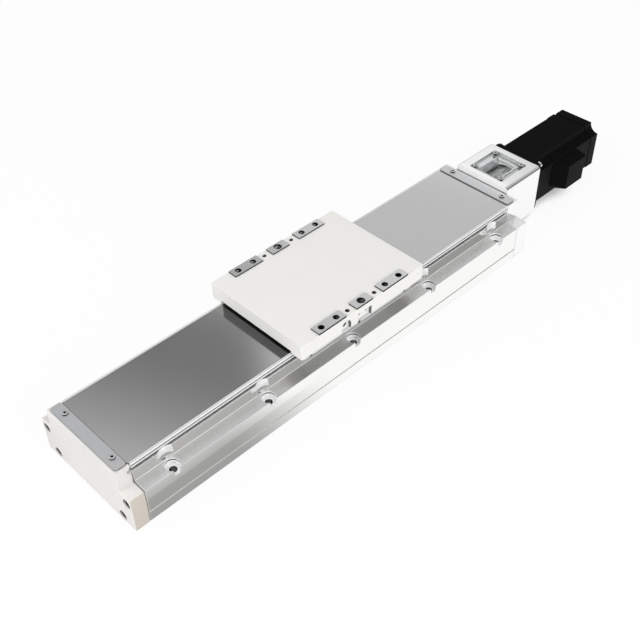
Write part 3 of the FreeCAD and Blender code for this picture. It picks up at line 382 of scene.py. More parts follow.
def cap_paint():
    """White paint, with the low sides that face Y painted a darker warm beige as shade."""
    material = skinned("cap_white_paint", (0.77, 0.75, 0.73), 0.42, hole=6.0, seam=2.0)
    tree = material.node_tree
    low = below(tree, object_axes(tree)["Z"], CAP_STEP - 0.4, 0.4)
    # painted shade: the low sides facing Y get a darker warm beige
    lay_over(material, product(tree, facing(tree, "Y"), low), (0.60, 0.555, 0.49))
    return material


def table_paint():
    """White table paint, with painted shade inside its holes, pockets and underside, and painted dim in reflections
    over the strip.
    """
    material = skinned("table_white_paint", (0.85, 0.84, 0.815), 0.42, hole=6.0, seam=3.0)
    tree = material.node_tree
    axes = object_axes(tree)
    aside = absolute(tree, axes["Y"])
    along = away(tree, axes["X"], TABLE_MIDDLE_X)
    # painted shade: the inside and underside of the table are near black
    inside = product(tree, below(tree, aside, POCKET_FLOOR_Y - 0.15, 0.1),
                     below(tree, along, TABLE_HALF_LENGTH - 1.0, 0.1), below(tree, axes["Z"], TABLE_TOP - 0.3, 0.1))
    lay_over(material, inside, (0.008, 0.008, 0.008))
    # painted shade on the walls of the side pockets
    pocket_wall_shade = product(tree, facing(tree, "X", 0.5, 0.8), below(tree, along, POCKET_REACH_X, 0.1))
    lay_over(material, pocket_wall_shade, (0.16, 0.16, 0.16))
    # painted reflection: polished faces show the table darker, and near black over the strip
    in_reflections = product(tree, place(tree, "ShaderNodeLightPath").outputs["Is Glossy Ray"], 0.9)
    lay_over(material, in_reflections, (0.32, 0.31, 0.29))
    dark_reflection_over_strip = product(tree, in_reflections, below(tree, aside, STRIP_HALF_WIDTH + 0.1, 0.1))
    lay_over(material, dark_reflection_over_strip, (0.05, 0.05, 0.05))
    return material


def dark_screw():
    """Black oxide, painted greyer where polished faces reflect it."""
    material = skinned("screw_black_oxide", (0.03, 0.03, 0.032), 0.4, metallic=0.6)
    in_reflections = place(material.node_tree, "ShaderNodeLightPath").outputs["Is Glossy Ray"]
    # painted reflection: the screws show greyer in polished faces
    lay_over(material, in_reflections, (0.30, 0.30, 0.30))
    return material


def pad_steel():
    """Ground tops on pads whose sides and lower faces are painted black as shade."""
    material = drawn_metal("pad_ground_steel", (0.86, 0.86, 0.87), 0.2, radius=0.15, hole=5.0)
    tree = material.node_tree
    painted_shade_black = (0.006, 0.006, 0.0065)
    # painted shade: the pad sides and every face below the top are black
    lay_over(material, not_flat(tree), painted_shade_black)
    lay_over(material, below(tree, object_axes(tree)["Z"], PAD_TOP - 0.3, 0.1), painted_shade_black)
    return material


def clamp_matte():
    """Matte clamp bars with their sides painted dark as shade."""
    material = skinned("clamp_matte", (0.775, 0.785, 0.80), 0.35, metallic=0.9, seam=0.5)
    # painted shade on the sides of the clamp bars
    lay_over(material, not_flat(material.node_tree), (0.30, 0.30, 0.31))
    return material


def cover_bright():
    """Bright cover rails with a thin line of painted shade along the top and painted shade in the groove along the
    side.
    """
    material = skinned("cover_rail_bright", (0.86, 0.86, 0.87), 0.3, metallic=0.15)
    tree = material.node_tree
    axes = object_axes(tree)
    from_line = away(tree, absolute(tree, axes["Y"]), RAIL_LINE_Y)
    # painted shade: a thin grey line along the top
    lay_over(material, product(tree, facing(tree, "Z"), below(tree, from_line, 0.2, 0.1)), (0.38, 0.38, 0.37))
    from_groove = away(tree, axes["Z"], RAIL_GROOVE_HEIGHT)
    # painted shade in the groove along the side
    lay_over(material, product(tree, slanted(tree), below(tree, from_groove, 0.6, 0.2)), (0.05, 0.05, 0.05))
    return material


def strip_steel():
    """Rolled strip with a thin painted shadow behind the front clamp."""
    material = drawn_metal("strip_rolled_steel", (0.66, 0.66, 0.66), 0.1, along=200.0, across=2600.0,
                           contrast=0.02, depth=0.02)
    tree = material.node_tree
    # painted shadow of the front clamp on the strip
    lay_over(material, below(tree, object_axes(tree)["X"], STRIP_SHADOW_X, 0.3), (0.12, 0.12, 0.12))
    return material


def low_screw(name, top):
    """Bright flat ring on a low screw head, with painted shade on its flank and in its socket."""
    material = skinned(name, (0.70, 0.70, 0.71), 0.25, metallic=0.7, hole=0.8)
    tree = material.node_tree
    # painted shade on the flank below the top of the head
    lay_over(material, below(tree, object_axes(tree)["Z"], top - 0.34, 0.14), (0.05, 0.05, 0.052))
    return material


def plate_aluminium():
    """Polished aluminium of the end plate and the housing, with end faces and a front margin painted matte white as
    light, a painted shadow at the housing's foot and painted shade on the window seat walls.
    """
    material = drawn_metal("plate_milled", (0.95, 0.95, 0.955), 0.14, radius=0.6, edge_metallic=0.1, hole=2.0)
    tree = material.node_tree
    axes = object_axes(tree)
    ends = facing(tree, "X")
    # painted shadow along the foot of the end faces, over the plate top
    foot_shadow = product(tree, ends, above(tree, axes["Z"], PLATE_TOP, 0.1),
                        below(tree, axes["Z"], PLATE_TOP + FOOT_SHADOW_HEIGHT, 0.3))
    # painted shade on the walls of the window seat
    seat = product(tree, not_flat(tree), above(tree, axes["Z"], WINDOW_SEAT_FLOOR, 0.2),
                   below(tree, absolute(tree, axes["Y"]), WINDOW_SEAT_HALF, 0.2),
                   above(tree, axes["X"], WINDOW_SEAT_FROM_X, 0.4))
    # painted light: the end faces are white and matte
    lay_over(material, ends, (1.0, 1.0, 1.0))
    lay_over(material, foot_shadow, (0.03, 0.03, 0.03))
    lay_over(material, seat, (0.55, 0.55, 0.55))
    over_foot = above(tree, axes["Z"], HOUSING_FOOT, 0.5)
    # painted light: a front margin of the housing top is matte and white
    lit_margin = product(tree, below(tree, axes["X"], MARGIN_FROM_X, MARGIN_TO_X - MARGIN_FROM_X), over_foot)
    hold(material, "Metallic", "MINIMUM", spread(tree, largest(tree, ends, lit_margin), 0.0, 1.0, 0.75, 0.05))
    hold(material, "Metallic", "MAXIMUM", product(tree, slanted(tree), over_foot, 0.97))
    return material


def black_sides(name, roughness):
    """Black skin, painted a little greyer on the sides that face Y, as light where the fill lamp reaches it."""
    material = skinned(name, (0.0038, 0.0038, 0.0042), roughness, specular=0.02)
    # painted light on the sides facing Y
    lay_over(material, facing(material.node_tree, "Y"), (0.0085, 0.0085, 0.0088))
    return material


def base_aluminium():
    """Anodised base with the pockets round its mounting holes painted white, as bare cut metal and as painted
    highlight, a painted highlight along the wall foot, and painted shade on the scallop floors, a ring in each
    counterbore and inside the holes.
    """
    material = drawn_metal("base_anodised", (0.95, 0.945, 0.935), 0.15, radius=0.7, edge_metallic=0.15, hole=3.0)
    tree = material.node_tree
    axes = object_axes(tree)
    half_pitch = MOUNT_PITCH / 2 * MM
    inputs = {0: math_node(tree, "SUBTRACT", axes["X"], MOUNT_FIRST_X * MM), 1: half_pitch, 2: -half_pitch}
    along = place(tree, "ShaderNodeMath", inputs, operation="WRAP").outputs[0]
    from_middle = absolute(tree, axes["Y"])
    aside = math_node(tree, "SUBTRACT", from_middle, MOUNT_Y * MM)
    offset = place(tree, "ShaderNodeCombineXYZ", {0: along, 1: aside}).outputs[0]
    radius = place(tree, "ShaderNodeVectorMath", {0: offset}, operation="LENGTH").outputs["Value"]
    level = facing(tree, "Z")

    scallop = product(tree, below(tree, radius, SCALLOP_RADIUS, 0.1), above(tree, axes["Z"], SCALLOP_FLOOR - 0.4, 0.2))
    bore = product(tree, below(tree, radius, COUNTERBORE_RADIUS, 0.1),
                   above(tree, axes["Z"], COUNTERBORE_FLOOR - 0.3, 0.2))
    from_foot = away(tree, axes["Z"], WALL_FOOT)
    # painted highlight: a thin white line along the inner corner at the wall foot
    corner = product(tree, below(tree, from_foot, 0.15, 0.07), below(tree, from_middle, WALL_FOOT_Y + 0.4, 0.1))
    bore_shade_band = product(tree, above(tree, axes["Z"], BORE_SHADE_LOW, 0.3), below(tree, axes["Z"], BORE_SHADE_HIGH, 0.3),
                   bore, not_flat(tree))
    # the pockets are white as bare cut metal and as painted highlight
    lay_over(material, largest(tree, bore, corner, scallop), (1.0, 1.0, 1.0))
    # painted shade on the scallop floors, a dark ring in each counterbore, and grey inside the holes
    lay_over(material, product(tree, scallop, level, 0.8), (0.28, 0.275, 0.265))
    lay_over(material, bore_shade_band, (0.06, 0.06, 0.06))
    lay_over(material, below(tree, radius, MOUNT_HOLE_RADIUS, 0.1), (0.65, 0.65, 0.66))

    foot = product(tree, below(tree, from_foot, 1.2, 0.3), below(tree, from_middle, WALL_FOOT_Y + 1.2, 0.3), 0.55)
    pocket = largest(tree, product(tree, bore, level), product(tree, corner, 0.8), product(tree, scallop, 0.85),
                     product(tree, bore, 0.95))
    hold(material, "Metallic", "MAXIMUM", foot)
    hold(material, "Metallic", "MINIMUM", spread(tree, pocket, 0.0, 1.0, 1.0, 0.05))
    hold(material, "Roughness", "MAXIMUM", product(tree, level, 0.34))
    return material


def clear_plate(name, colour, roughness):
    """Clear plastic or glass with faint handling marks, which lets light through to what lies behind."""
    material, tree, shader = new_finish(name)
    skin = group_outputs(tree, SKIN, {"Scale": 300.0})
    tree.links.new(spread(tree, skin["Cloud"], 0.3, 0.8, roughness, roughness * 3), shader.inputs["Roughness"])
    shader.inputs["Base Color"].default_value = (*colour, 1.0)
    shader.inputs["Transmission Weight"].default_value = 1.0
    shader.inputs["IOR"].default_value = 1.49
    ray = place(tree, "ShaderNodeLightPath").outputs
    passing = math_node(tree, "ADD", ray["Is Shadow Ray"], ray["Is Diffuse Ray"], True)
    passing = largest(tree, passing, 0.92)
    through = place(tree, "ShaderNodeBsdfTransparent", {"Color": (*colour, 1.0)})
    mix = place(tree, "ShaderNodeMixShader", {0: passing, 1: shader.outputs[0], 2: through.outputs[0]})
    tree.links.new(mix.outputs[0], tree.nodes["Material Output"].inputs["Surface"])
    return material


FINISHES = {
    "base_aluminium": base_aluminium(),
    "cap_paint": cap_paint(),
    "table_paint": table_paint(),
    "plate_aluminium": plate_aluminium(),
    "cover_bright": cover_bright(),
    "strip_steel": strip_steel(),
    "clamp_aluminium": clamp_matte(),
    "pad_steel": pad_steel(),
    "guide_steel": drawn_metal("guide_ground_steel", (0.62, 0.62, 0.63), 0.2),
    "bearing_steel": drawn_metal("bearing_steel", (0.64, 0.64, 0.65), 0.2),
    "saddle_aluminium": drawn_metal("saddle_milled", (0.62, 0.62, 0.62), 0.3, metallic=0.4, hole=1.0),
    "dark_screw": dark_screw(),
    "bright_screw": skinned("screw_zinc", (0.80, 0.80, 0.81), 0.22, metallic=1.0, hole=1.6, seam=1.0),
    "seal_plastic": skinned("seal_moulded", (0.03, 0.03, 0.035), 0.5),
    "bumper_rubber": skinned("bumper_rubber", (0.02, 0.02, 0.02), 0.7),
    "hub_aluminium": skinned("hub_grey_anodised", (0.46, 0.46, 0.465), 0.5, hole=1.0),
    "spider_polymer": skinned("spider_elastomer", (0.32, 0.32, 0.33), 0.45, hole=1.5),
    "window_clear": clear_plate("window_clear_sheet", (0.97, 0.98, 0.98), 0.02),
    "motor_black": black_sides("motor_black_paint", 0.45),
    "connector_black": black_sides("connector_moulded", 0.5),
    "rotor_steel": skinned("rotor_laminated", (0.20, 0.20, 0.21), 0.4, metallic=0.9),
    "encoder_green": skinned("encoder_board_green", (0.02, 0.12, 0.04), 0.35),
    "encoder_glass": clear_plate("encoder_glass", (0.85, 0.88, 0.9), 0.03),
}
SLOT_OF = {row["node"]: row["material_slot"] for row in frame["record"]["subparts"]}


def dress_nodes():
    for name, node in frame["nodes"].items():
        node.data.materials.clear()
        node.data.materials.append(FINISHES[SLOT_OF[name]])


dress_nodes()


# Modelling helpers

def deselect():
    if bpy.context.object and bpy.context.object.mode != "OBJECT":
        bpy.ops.object.mode_set(mode="OBJECT")
    bpy.ops.object.select_all(action="DESELECT")


def select_only(piece):
    deselect()
    bpy.context.view_layer.objects.active = piece
    piece.select_set(True)


def delete(piece):
    deselect()
    piece.select_set(True)
    bpy.ops.object.delete()


def begin_edit(piece, kind):
    select_only(piece)
    bpy.ops.object.mode_set(mode="EDIT")
    bpy.ops.mesh.select_mode(type=kind)
    bpy.ops.mesh.select_all(action="DESELECT")


def pick_faces(piece, test):
    """Opens the piece for editing and selects the faces whose normal passes the test."""
    begin_edit(piece, "FACE")
    mesh = bmesh.from_edit_mesh(piece.data)
    for face in mesh.faces:
        face.select_set(test(face.normal))
    bmesh.update_edit_mesh(piece.data)


def pick_edges(piece, test):
    """Opens the piece for editing and selects the edges whose two ends pass the test."""
    begin_edit(piece, "EDGE")
    mesh = bmesh.from_edit_mesh(piece.data)
    for edge in mesh.edges:
        edge.select_set(all(test(vertex.co) for vertex in edge.verts))
    bmesh.update_edit_mesh(piece.data)


def close_edit():
    bpy.ops.object.mode_set(mode="OBJECT")


def extrude_along_z(reach):
    bpy.ops.mesh.extrude_region_move(TRANSFORM_OT_translate={"value": (0.0, 0.0, reach)})


def apply_place(piece, turn, location):
    """Turns and moves a piece, and puts its place into its mesh."""
    select_only(piece)
    piece.rotation_euler = turn
    piece.location = location
    bpy.ops.object.transform_apply(location=True, rotation=True, scale=True)


def apply_modifiers(piece):
    select_only(piece)
    for name in [modifier.name for modifier in piece.modifiers]:
        bpy.ops.object.modifier_apply(modifier=name)


def add_rod(name, radius, depth, middle, sides=40):
    """A round or many-sided bar along Z to start a piece from."""
    deselect()
    bpy.ops.mesh.primitive_cylinder_add(vertices=sides, radius=radius, depth=depth, location=middle)
    bpy.ops.object.transform_apply(location=True, rotation=True, scale=True)
    piece = bpy.context.object
    piece.name = piece.data.name = name
    return piece


def cut_away(piece, cutter):
    """Takes a cutter out of a piece and removes the cutter."""
    step = piece.modifiers.new("cut", "BOOLEAN")
    step.operation = "DIFFERENCE"
    step.solver = "EXACT"
    step.object = cutter
    apply_modifiers(piece)
    delete(cutter)


def smooth_by_angle(piece, degrees=35.0):
    select_only(piece)
    bpy.ops.object.shade_smooth_by_angle(angle=math.radians(degrees))


def set_out(piece, seats, turn):
    """Copies a piece to every seat in millimetres, each with its own mesh, and joins the copies into one piece."""
    copies = []
    for seat in seats:
        select_only(piece)
        bpy.ops.object.duplicate(linked=False)
        copy = bpy.context.object
        apply_place(copy, turn, [value * MM for value in seat])
        copies.append(copy)
    name = piece.name
    delete(piece)
    for copy in copies:
        copy.select_set(True)
    bpy.context.view_layer.objects.active = copies[0]
    bpy.ops.object.join()
    joined = bpy.context.object
    joined.name = joined.data.name = name
    return joined


def finish_piece(piece, body, node, finish=None):
    """Dresses a piece in its own finish or that of the node it stands for, and puts it on the node's body."""
    slot = SLOT_OF[node]
    piece.data.materials.clear()
    piece.data.materials.append(finish or FINISHES[slot])
    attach(piece, body)
    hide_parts(node)


# Visible screws, in millimetres: places, then nominal radius, head radius, head height and rim of each kind
LOW_M3 = (1.45, 2.75, 1.2, 0.35)
CAP_M4 = (1.95, 3.4, 4.0, 0.4)
CAP_M5 = (2.45, 4.25, 5.0, 0.5)
LOW_HEAD_RADIUS, LOW_HEAD = LOW_M3[1:3]
CLAMP_SCREW_X = (low_of("strip_clamp_screws", "X") + LOW_HEAD_RADIUS,
                 high_of("strip_clamp_screws", "X") - LOW_HEAD_RADIUS)
CLAMP_SCREW_Y = 31.4
CLAMP_SEAT = high_of("front_strip_clamp", "Z")
CLAMP_SCREW_LENGTH = 6.6
WINDOW_MIDDLE_X = middle_of("window_cover", "X")
WINDOW_SCREW_HALF = 16.5
WINDOW_SEAT = high_of("window_cover", "Z")
WINDOW_SCREW_LENGTH = 7.0
AXIS_HEIGHT = middle_of("ball_screw", "Z")
MOTOR_SCREW_HALF = 24.75
MOTOR_SCREW_SEAT_X = high_of("motor_flange", "X")
MOTOR_SCREW_LENGTH = 17.5
CAP_SCREW_SEAT_X = low_of("front_cap_screws", "X") + CAP_M5[2]
CAP_SCREW_PLACES = ((54.0, 28.0), (44.5, 5.6))
CAP_SCREW_LENGTH = 20.5
TO_BACK = (0.0, math.pi / 2, 0.0)
TO_FRONT = (0.0, -math.pi / 2, 0.0)
UPRIGHT = (0.0, 0.0, 0.0)
BOTH_SIDES = (-1, 1)

# Shares of a screw's nominal radius: its pointed end, its hexagon over flats, and the depth of the socket's mouth
POINT_SHARE = 0.3
HEXAGON_SHARE = 1.6
MOUTH_DEPTH_SHARE = 0.24
# The mouth over the hexagon's corners, how far it narrows, and the socket's depth in the head
MOUTH_OVER_CORNERS = 1.12
MOUTH_NARROWS_TO = 0.8
SOCKET_SHARE_OF_HEAD = 0.6
LEAST_SOCKET_DEPTH = 1.1 * MM
TOP_EDGE_REACH = 0.02 * MM


def socket_screw(name, kind, length):
    """Socket screw along Z with its seat at the origin: round rim, hexagon with a wider mouth, and pointed end."""
    size, head_radius, head_height, rim = (value * MM for value in kind)
    head = add_rod(name, head_radius, head_height, (0.0, 0.0, head_height / 2))
    pick_edges(head, lambda v: abs(v.z - head_height) < TOP_EDGE_REACH and v.xy.length > head_radius * 0.9)
    bpy.ops.mesh.bevel(offset=rim, segments=4, affect="EDGES")
    pick_faces(head, lambda normal: normal.z < -0.9)
    bpy.ops.mesh.inset(thickness=head_radius - size)
    extrude_along_z(-length * MM)
    bpy.ops.mesh.bevel(offset=size * POINT_SHARE, segments=1, affect="EDGES")
    close_edit()
    top = (0.0, 0.0, head_height)
    corner_radius = HEXAGON_SHARE * size / math.sqrt(3)
    depth = max(head_height * SOCKET_SHARE_OF_HEAD, LEAST_SOCKET_DEPTH)
    cut_away(head, add_rod("hexagon", corner_radius, 2 * depth, top, sides=6))
    mouth = add_rod("mouth", corner_radius * MOUTH_OVER_CORNERS, MOUTH_DEPTH_SHARE * size, top)
    pick_edges(mouth, lambda v: v.z < head_height)
    bpy.ops.transform.resize(value=(MOUTH_NARROWS_TO, MOUTH_NARROWS_TO, 1.0))
    close_edit()
    cut_away(head, mouth)
    smooth_by_angle(head)
    return head


def clamp_screws():
    seats = [(x, side * CLAMP_SCREW_Y, CLAMP_SEAT) for x in CLAMP_SCREW_X for side in BOTH_SIDES]
    screws = set_out(socket_screw("clamp_screw_set", LOW_M3, CLAMP_SCREW_LENGTH), seats, UPRIGHT)
    finish = low_screw("clamp_screw_zinc", CLAMP_SEAT + LOW_HEAD)
    finish_piece(screws, "module", "strip_clamp_screws", finish)


def window_sheet_screws():
    half = WINDOW_SCREW_HALF
    seats = [(WINDOW_MIDDLE_X + sx * half, sy * half, WINDOW_SEAT) for sx in BOTH_SIDES for sy in BOTH_SIDES]
    screws = set_out(socket_screw("window_screw_set", LOW_M3, WINDOW_SCREW_LENGTH), seats, UPRIGHT)
    finish = low_screw("window_screw_zinc", WINDOW_SEAT + LOW_HEAD)
    finish_piece(screws, "module", "window_screws", finish)


def motor_flange_screws():
    half = MOTOR_SCREW_HALF
    seats = [(MOTOR_SCREW_SEAT_X, sy * half, AXIS_HEIGHT + sz * half) for sy in BOTH_SIDES for sz in BOTH_SIDES]
    screws = set_out(socket_screw("motor_screw_set", CAP_M4, MOTOR_SCREW_LENGTH), seats, TO_BACK)
    finish_piece(screws, "module", "motor_screws")


def end_cap_screws():
    seats = [(CAP_SCREW_SEAT_X, side * y, z) for y, z in CAP_SCREW_PLACES for side in BOTH_SIDES]
    screws = set_out(socket_screw("cap_screw_set", CAP_M5, CAP_SCREW_LENGTH), seats, TO_FRONT)
    finish_piece(screws, "module", "front_cap_screws")


# Ball screw, in millimetres: radius and length of each journal outwards from the thread, then the ball track
FRONT_JOURNALS = ((7.0, 5.7), (5.0, 8.0))
REAR_JOURNALS = ((7.0, 8.5), (5.0, 38.5))
THREAD_FROM_X = low_of("ball_screw", "X") + sum(length for _, length in FRONT_JOURNALS)
THREAD_TO_X = high_of("ball_screw", "X") - sum(length for _, length in REAR_JOURNALS)
THREAD_RADIUS = high_of("ball_screw", "Z") - AXIS_HEIGHT
SCREW_CHAMFER = 0.6
SCREW_LEAD = 10.0
GROOVE_RADIUS = 1.55
GROOVE_CIRCLE = 8.6
GROOVE_CORNERS = 12
GROOVE_STEPS = 32
SCREW_SIDES = 2 * GROOVE_STEPS


def ball_groove(length):
    """Closed right-hand helical tube about Z, of the whole turns that fit a length: what a ball track takes away."""
    turns = math.floor(length / SCREW_LEAD)
    lowest = (length - turns * SCREW_LEAD) / 2
    half_side = math.pi / SCREW_SIDES  # the tube's corners then miss the edges of the rod
    start = Vector((GROOVE_CIRCLE * math.cos(half_side), GROOVE_CIRCLE * math.sin(half_side), lowest)) * MM
    deselect()
    bpy.ops.mesh.primitive_circle_add(vertices=GROOVE_CORNERS, radius=GROOVE_RADIUS * MM, location=start,
                                      rotation=(math.pi / 2, 0.0, half_side))
    bpy.ops.object.transform_apply(location=True, rotation=True, scale=True)
    groove = bpy.context.object
    helix = groove.modifiers.new("helix", "SCREW")
    helix.axis = "Z"
    helix.angle = 2 * math.pi
    helix.screw_offset = SCREW_LEAD * MM
    helix.iterations = turns
    helix.steps = helix.render_steps = GROOVE_STEPS
    apply_modifiers(groove)
    begin_edit(groove, "EDGE")
    bpy.ops.mesh.select_all(action="SELECT")
    bpy.ops.mesh.fill_holes(sides=0)
    bpy.ops.mesh.select_all(action="SELECT")
    bpy.ops.mesh.normals_make_consistent(inside=False)
    close_edit()
    return groove


def threaded_ball_screw():
    """Turned screw with its stepped journals and its ball track."""
    length = THREAD_TO_X - THREAD_FROM_X
    middle = (0.0, 0.0, length / 2 * MM)
    screw = add_rod("ball_screw_threaded", THREAD_RADIUS * MM, length * MM, middle, SCREW_SIDES)
    for journals, way in ((FRONT_JOURNALS, -1.0), (REAR_JOURNALS, 1.0)):
        pick_faces(screw, lambda normal: normal.z * way > 0.9)
        radius = THREAD_RADIUS
        for next_radius, reach in journals:
            bpy.ops.mesh.inset(thickness=(radius - next_radius) * MM)
            extrude_along_z(way * reach * MM)
            radius = next_radius
        bpy.ops.mesh.bevel(offset=SCREW_CHAMFER * MM, segments=1, affect="EDGES")
        close_edit()
    cut_away(screw, ball_groove(length))
    smooth_by_angle(screw)
    apply_place(screw, TO_BACK, (THREAD_FROM_X * MM, 0.0, AXIS_HEIGHT * MM))
    finish_piece(screw, "screw", "ball_screw")


clamp_screws()
window_sheet_screws()
motor_flange_screws()
end_cap_screws()
threaded_ball_screw()


# The room that polished faces show, by direction: rise is Z less half of X, and turn is X less 0.6 of Y
RISE_LEAN = -0.5
TURN_LEAN = 0.6
ROOM_LEVELS = ((0.0, 1.0), (0.213, 1.0), (0.232, 0.735), (0.34, 0.735), (0.42, 0.72), (0.448, 0.245), (0.50, 0.235),
               (0.526, 0.27), (0.552, 0.36), (0.586, 0.48), (0.605, 0.62), (0.70, 0.68), (1.0, 0.7))
PALE_PATCH = (0.72, 0.72, 0.72)
PALE_PATCH_TURN = ((0.10, 0.135), (0.17, 0.20))
PALE_PATCH_RISE = ((0.425, 0.445), (0.50, 0.53))
DIM_CORNER = (0.25, 0.25, 0.25)
LEFT_CORNER_TURN = (0.21, 0.11)
LEFT_CORNER_RISE = (0.405, 0.42)
LEFT_CORNER_SHARE = 0.85
RIGHT_CORNER_TURN = (0.41, 0.45)
RIGHT_CORNER_RISE = (0.205, 0.22)
RIGHT_CORNER_SHARE = 0.66
NEAR_SIDE_Y = (0.25, -0.05)
NEAR_SIDE_X = (0.35, 0.64)
NEAR_SIDE_LEVELS = (0.57, 0.46)
SCREEN_DIRECTION = (0.70, -0.70, 0.15)
SCREEN_EDGE = (0.86, 0.95)
DARK_SCREEN = (0.20, 0.20, 0.20)
FAR_SIDE_Y = (0.25, 0.45)
SKIRTING_Z = (0.16, 0.06)
SKIRTING = (0.22, 0.22, 0.22)
WHITE = (1.0, 1.0, 1.0, 1.0)
AMBIENT_STRENGTH = 0.6


def comes_in(tree, value, span):
    return spread(tree, value, *span, 0.0, 1.0)


def goes_out(tree, value, span):
    return spread(tree, value, *span, 1.0, 0.0)


def room_colour(tree):
    """What a mirror sees: a white room with a grey band overhead, dim corners and a dark screen and skirting."""
    where = place(tree, "ShaderNodeTexCoord").outputs["Generated"]
    axes = place(tree, "ShaderNodeSeparateXYZ", {0: where}).outputs
    rise = math_node(tree, "ADD", axes["Z"], product(tree, axes["X"], RISE_LEAN))
    turn = math_node(tree, "SUBTRACT", axes["X"], product(tree, axes["Y"], TURN_LEAN))
    ramp = place(tree, "ShaderNodeValToRGB", {"Fac": rise})
    elements = ramp.color_ramp.elements
    while len(elements) < len(ROOM_LEVELS):
        elements.new(0.5)
    for element, (position, level) in zip(elements, ROOM_LEVELS):
        element.position = position
        element.color = (level, level, level, 1.0)
    patch = product(tree, comes_in(tree, turn, PALE_PATCH_TURN[0]), goes_out(tree, turn, PALE_PATCH_TURN[1]),
                    comes_in(tree, rise, PALE_PATCH_RISE[0]), goes_out(tree, rise, PALE_PATCH_RISE[1]))
    room = mixed_colour(tree, patch, ramp.outputs[0], PALE_PATCH)
    left = product(tree, comes_in(tree, turn, LEFT_CORNER_TURN), goes_out(tree, rise, LEFT_CORNER_RISE))
    room = mixed_colour(tree, product(tree, left, LEFT_CORNER_SHARE), room, DIM_CORNER)
    right = product(tree, comes_in(tree, turn, RIGHT_CORNER_TURN), goes_out(tree, rise, RIGHT_CORNER_RISE))
    room = mixed_colour(tree, product(tree, right, RIGHT_CORNER_SHARE), room, DIM_CORNER)
    level = spread(tree, axes["X"], *NEAR_SIDE_X, *NEAR_SIDE_LEVELS)
    grey = place(tree, "ShaderNodeCombineXYZ", {0: level, 1: level, 2: level}).outputs[0]
    room = mixed_colour(tree, comes_in(tree, axes["Y"], NEAR_SIDE_Y), room, grey)
    inputs = {0: where, 1: SCREEN_DIRECTION}
    toward = place(tree, "ShaderNodeVectorMath", inputs, operation="DOT_PRODUCT").outputs["Value"]
    room = mixed_colour(tree, comes_in(tree, toward, SCREEN_EDGE), room, DARK_SCREEN)
    skirting = product(tree, comes_in(tree, axes["Y"], FAR_SIDE_Y), comes_in(tree, axes["Z"], SKIRTING_Z))
    return mixed_colour(tree, skirting, room, SKIRTING)


def mirror_ray(tree, ray):
    """Mask of the rays that come from a polished or clear face."""
    return math_node(tree, "ADD", ray["Is Glossy Ray"], ray["Is Transmission Ray"], True)


def studio_world():
    """Plain white for the camera, soft white light, and the room in mirrors."""
    world = bpy.data.worlds.new("studio")
    bpy.context.scene.world = world
    world.use_nodes = True
    tree = world.node_tree
    tree.nodes.clear()
    ray = place(tree, "ShaderNodeLightPath").outputs
    seen = place(tree, "ShaderNodeBackground", {"Color": WHITE, "Strength": 1.0})
    shown = place(tree, "ShaderNodeBackground", {"Color": room_colour(tree), "Strength": 1.0})
    soft = place(tree, "ShaderNodeBackground", {"Color": WHITE, "Strength": AMBIENT_STRENGTH})
    lit = place(tree, "ShaderNodeMixShader", {0: mirror_ray(tree, ray), 1: soft.outputs[0], 2: shown.outputs[0]})
    final = place(tree, "ShaderNodeMixShader", {0: ray["Is Camera Ray"], 1: lit.outputs[0], 2: seen.outputs[0]})
    place(tree, "ShaderNodeOutputWorld", {"Surface": final.outputs[0]})


# The floor, in metres, and the painted brightness that mirrors show on it: dim by the object's front, brighter aside,
# dim far behind
FLOOR_SIZE = 12.0
FLOOR_DROP = -0.0002
FLOOR_COLOUR = (0.9, 0.9, 0.9, 1.0)
FLOOR_FRONT_X = (-0.225, -0.095)
FLOOR_FRONT_LEVELS = (0.37, 1.0)
FLOOR_BESIDE_Y = (0.076, 0.1)
FLOOR_BESIDE_GAIN = 0.3
FLOOR_CORNER_X_PLUS_Y = (0.45, 0.65)
FLOOR_CORNER_LEVELS = (1.0, 0.25)
FLOOR_BEHIND_Y = (0.0, 0.07)
FLOOR_BEHIND_LEVELS = (1.0, 0.72)
CONTACT_REACH = 0.03
CONTACT_OPEN = (0.05, 0.35)
CONTACT_LEVELS = (0.02, 1.0)
SHARE_SEEN_WHITE = 0.93


def floor_in_mirrors(tree):
    """Painted brightness of the floor as polished faces show it."""
    axes = object_axes(tree)
    inputs = {"Value": axes["X"], 1: FLOOR_FRONT_X[0], 2: FLOOR_FRONT_X[1], 3: FLOOR_FRONT_LEVELS[0],
              4: FLOOR_FRONT_LEVELS[1]}
    along = place(tree, "ShaderNodeMapRange", inputs, interpolation_type="SMOOTHSTEP").outputs[0]
    aside = spread(tree, absolute(tree, axes["Y"]), *FLOOR_BESIDE_Y, 0.0, FLOOR_BESIDE_GAIN)
    level = math_node(tree, "ADD", along, aside, True)
    outwards = math_node(tree, "ADD", axes["X"], axes["Y"])
    corner = product(tree, spread(tree, outwards, *FLOOR_CORNER_X_PLUS_Y, *FLOOR_CORNER_LEVELS),
                     spread(tree, axes["Y"], *FLOOR_BEHIND_Y, *FLOOR_BEHIND_LEVELS))
    near_half = math_node(tree, "LESS_THAN", axes["Y"], 0.0)
    return product(tree, level, largest(tree, corner, near_half))


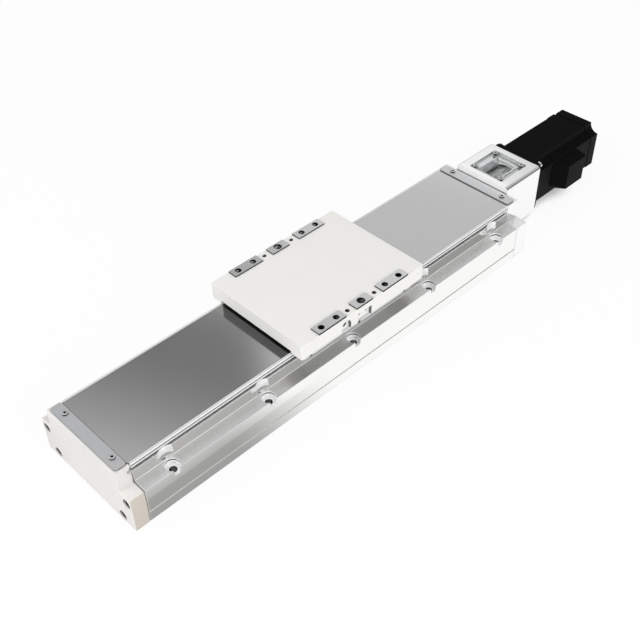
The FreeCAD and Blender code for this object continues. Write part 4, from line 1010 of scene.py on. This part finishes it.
def studio_floor():
    """Pale floor that glows white in the picture, with a painted contact shadow from occlusion and a light real
    shadow.
    """
    deselect()
    bpy.ops.mesh.primitive_plane_add(size=FLOOR_SIZE, location=(0.0, 0.0, FLOOR_DROP))
    floor = bpy.context.object
    floor.name = "studio_floor"
    material, tree, shader = new_finish("floor_white")
    shader.inputs["Base Color"].default_value = FLOOR_COLOUR
    shader.inputs["Roughness"].default_value = 0.9
    ray = place(tree, "ShaderNodeLightPath").outputs
    open_share = place(tree, "ShaderNodeAmbientOcclusion", {"Distance": CONTACT_REACH}, samples=8).outputs["AO"]
    contact = spread(tree, open_share, *CONTACT_OPEN, *CONTACT_LEVELS)
    white = place(tree, "ShaderNodeEmission", {"Color": WHITE, "Strength": contact})
    shown = place(tree, "ShaderNodeEmission", {"Color": WHITE, "Strength": floor_in_mirrors(tree)})
    seen = product(tree, ray["Is Camera Ray"], SHARE_SEEN_WHITE)
    mix = place(tree, "ShaderNodeMixShader", {0: seen, 1: shader.outputs[0], 2: white.outputs[0]})
    mix = place(tree, "ShaderNodeMixShader", {0: mirror_ray(tree, ray), 1: mix.outputs[0], 2: shown.outputs[0]})
    tree.links.new(mix.outputs[0], tree.nodes["Material Output"].inputs["Surface"])
    floor.data.materials.append(material)


# Lamps and camera, in metres and watts
LAMP_TARGET = Vector((0.0, 0.0, 0.03))
LAMP_SIZE = 1.2
KEY_PLACE = (-1.6, 0.3, 1.1)
KEY_POWER = 17.0
FILL_PLACE = (-0.1, -1.7, 0.9)
FILL_POWER = 14.0
CAMERA_PLACE = (-0.53425, -0.4869, 0.6317)
CAMERA_BACK = (-0.5095, -0.5330, 0.6756)
CAMERA_RIGHT = (0.71453, -0.69949, -0.01296)
SENSOR_WIDTH = 36.0
FOCAL_LENGTH = 55.70
CLIP_START = 0.01


def soft_lamp(name, location, power):
    light = bpy.data.lights.new(name, "AREA")
    light.shape = "SQUARE"
    light.size = LAMP_SIZE
    light.energy = power
    lamp = bpy.data.objects.new(name, light)
    bpy.context.scene.collection.objects.link(lamp)
    lamp.location = location
    lamp.rotation_euler = (LAMP_TARGET - Vector(location)).to_track_quat("-Z", "Y").to_euler()
    lamp.visible_glossy = False


def photo_camera():
    """Camera fitted to the edges of the object in the photograph."""
    data = bpy.data.cameras.new("photo_camera")
    data.sensor_width = SENSOR_WIDTH
    data.lens = FOCAL_LENGTH
    data.clip_start = CLIP_START
    camera = bpy.data.objects.new("photo_camera", data)
    bpy.context.scene.collection.objects.link(camera)
    back = Vector(CAMERA_BACK).normalized()
    right = Vector(CAMERA_RIGHT).normalized()
    turn = Matrix((right, back.cross(right), back)).transposed()
    camera.matrix_world = Matrix.Translation(CAMERA_PLACE) @ turn.to_4x4()
    bpy.context.scene.camera = camera


studio_world()
studio_floor()
soft_lamp("key_lamp", KEY_PLACE, KEY_POWER)
soft_lamp("fill_lamp", FILL_PLACE, FILL_POWER)
photo_camera()
bpy.context.scene.view_settings.view_transform = "Standard"
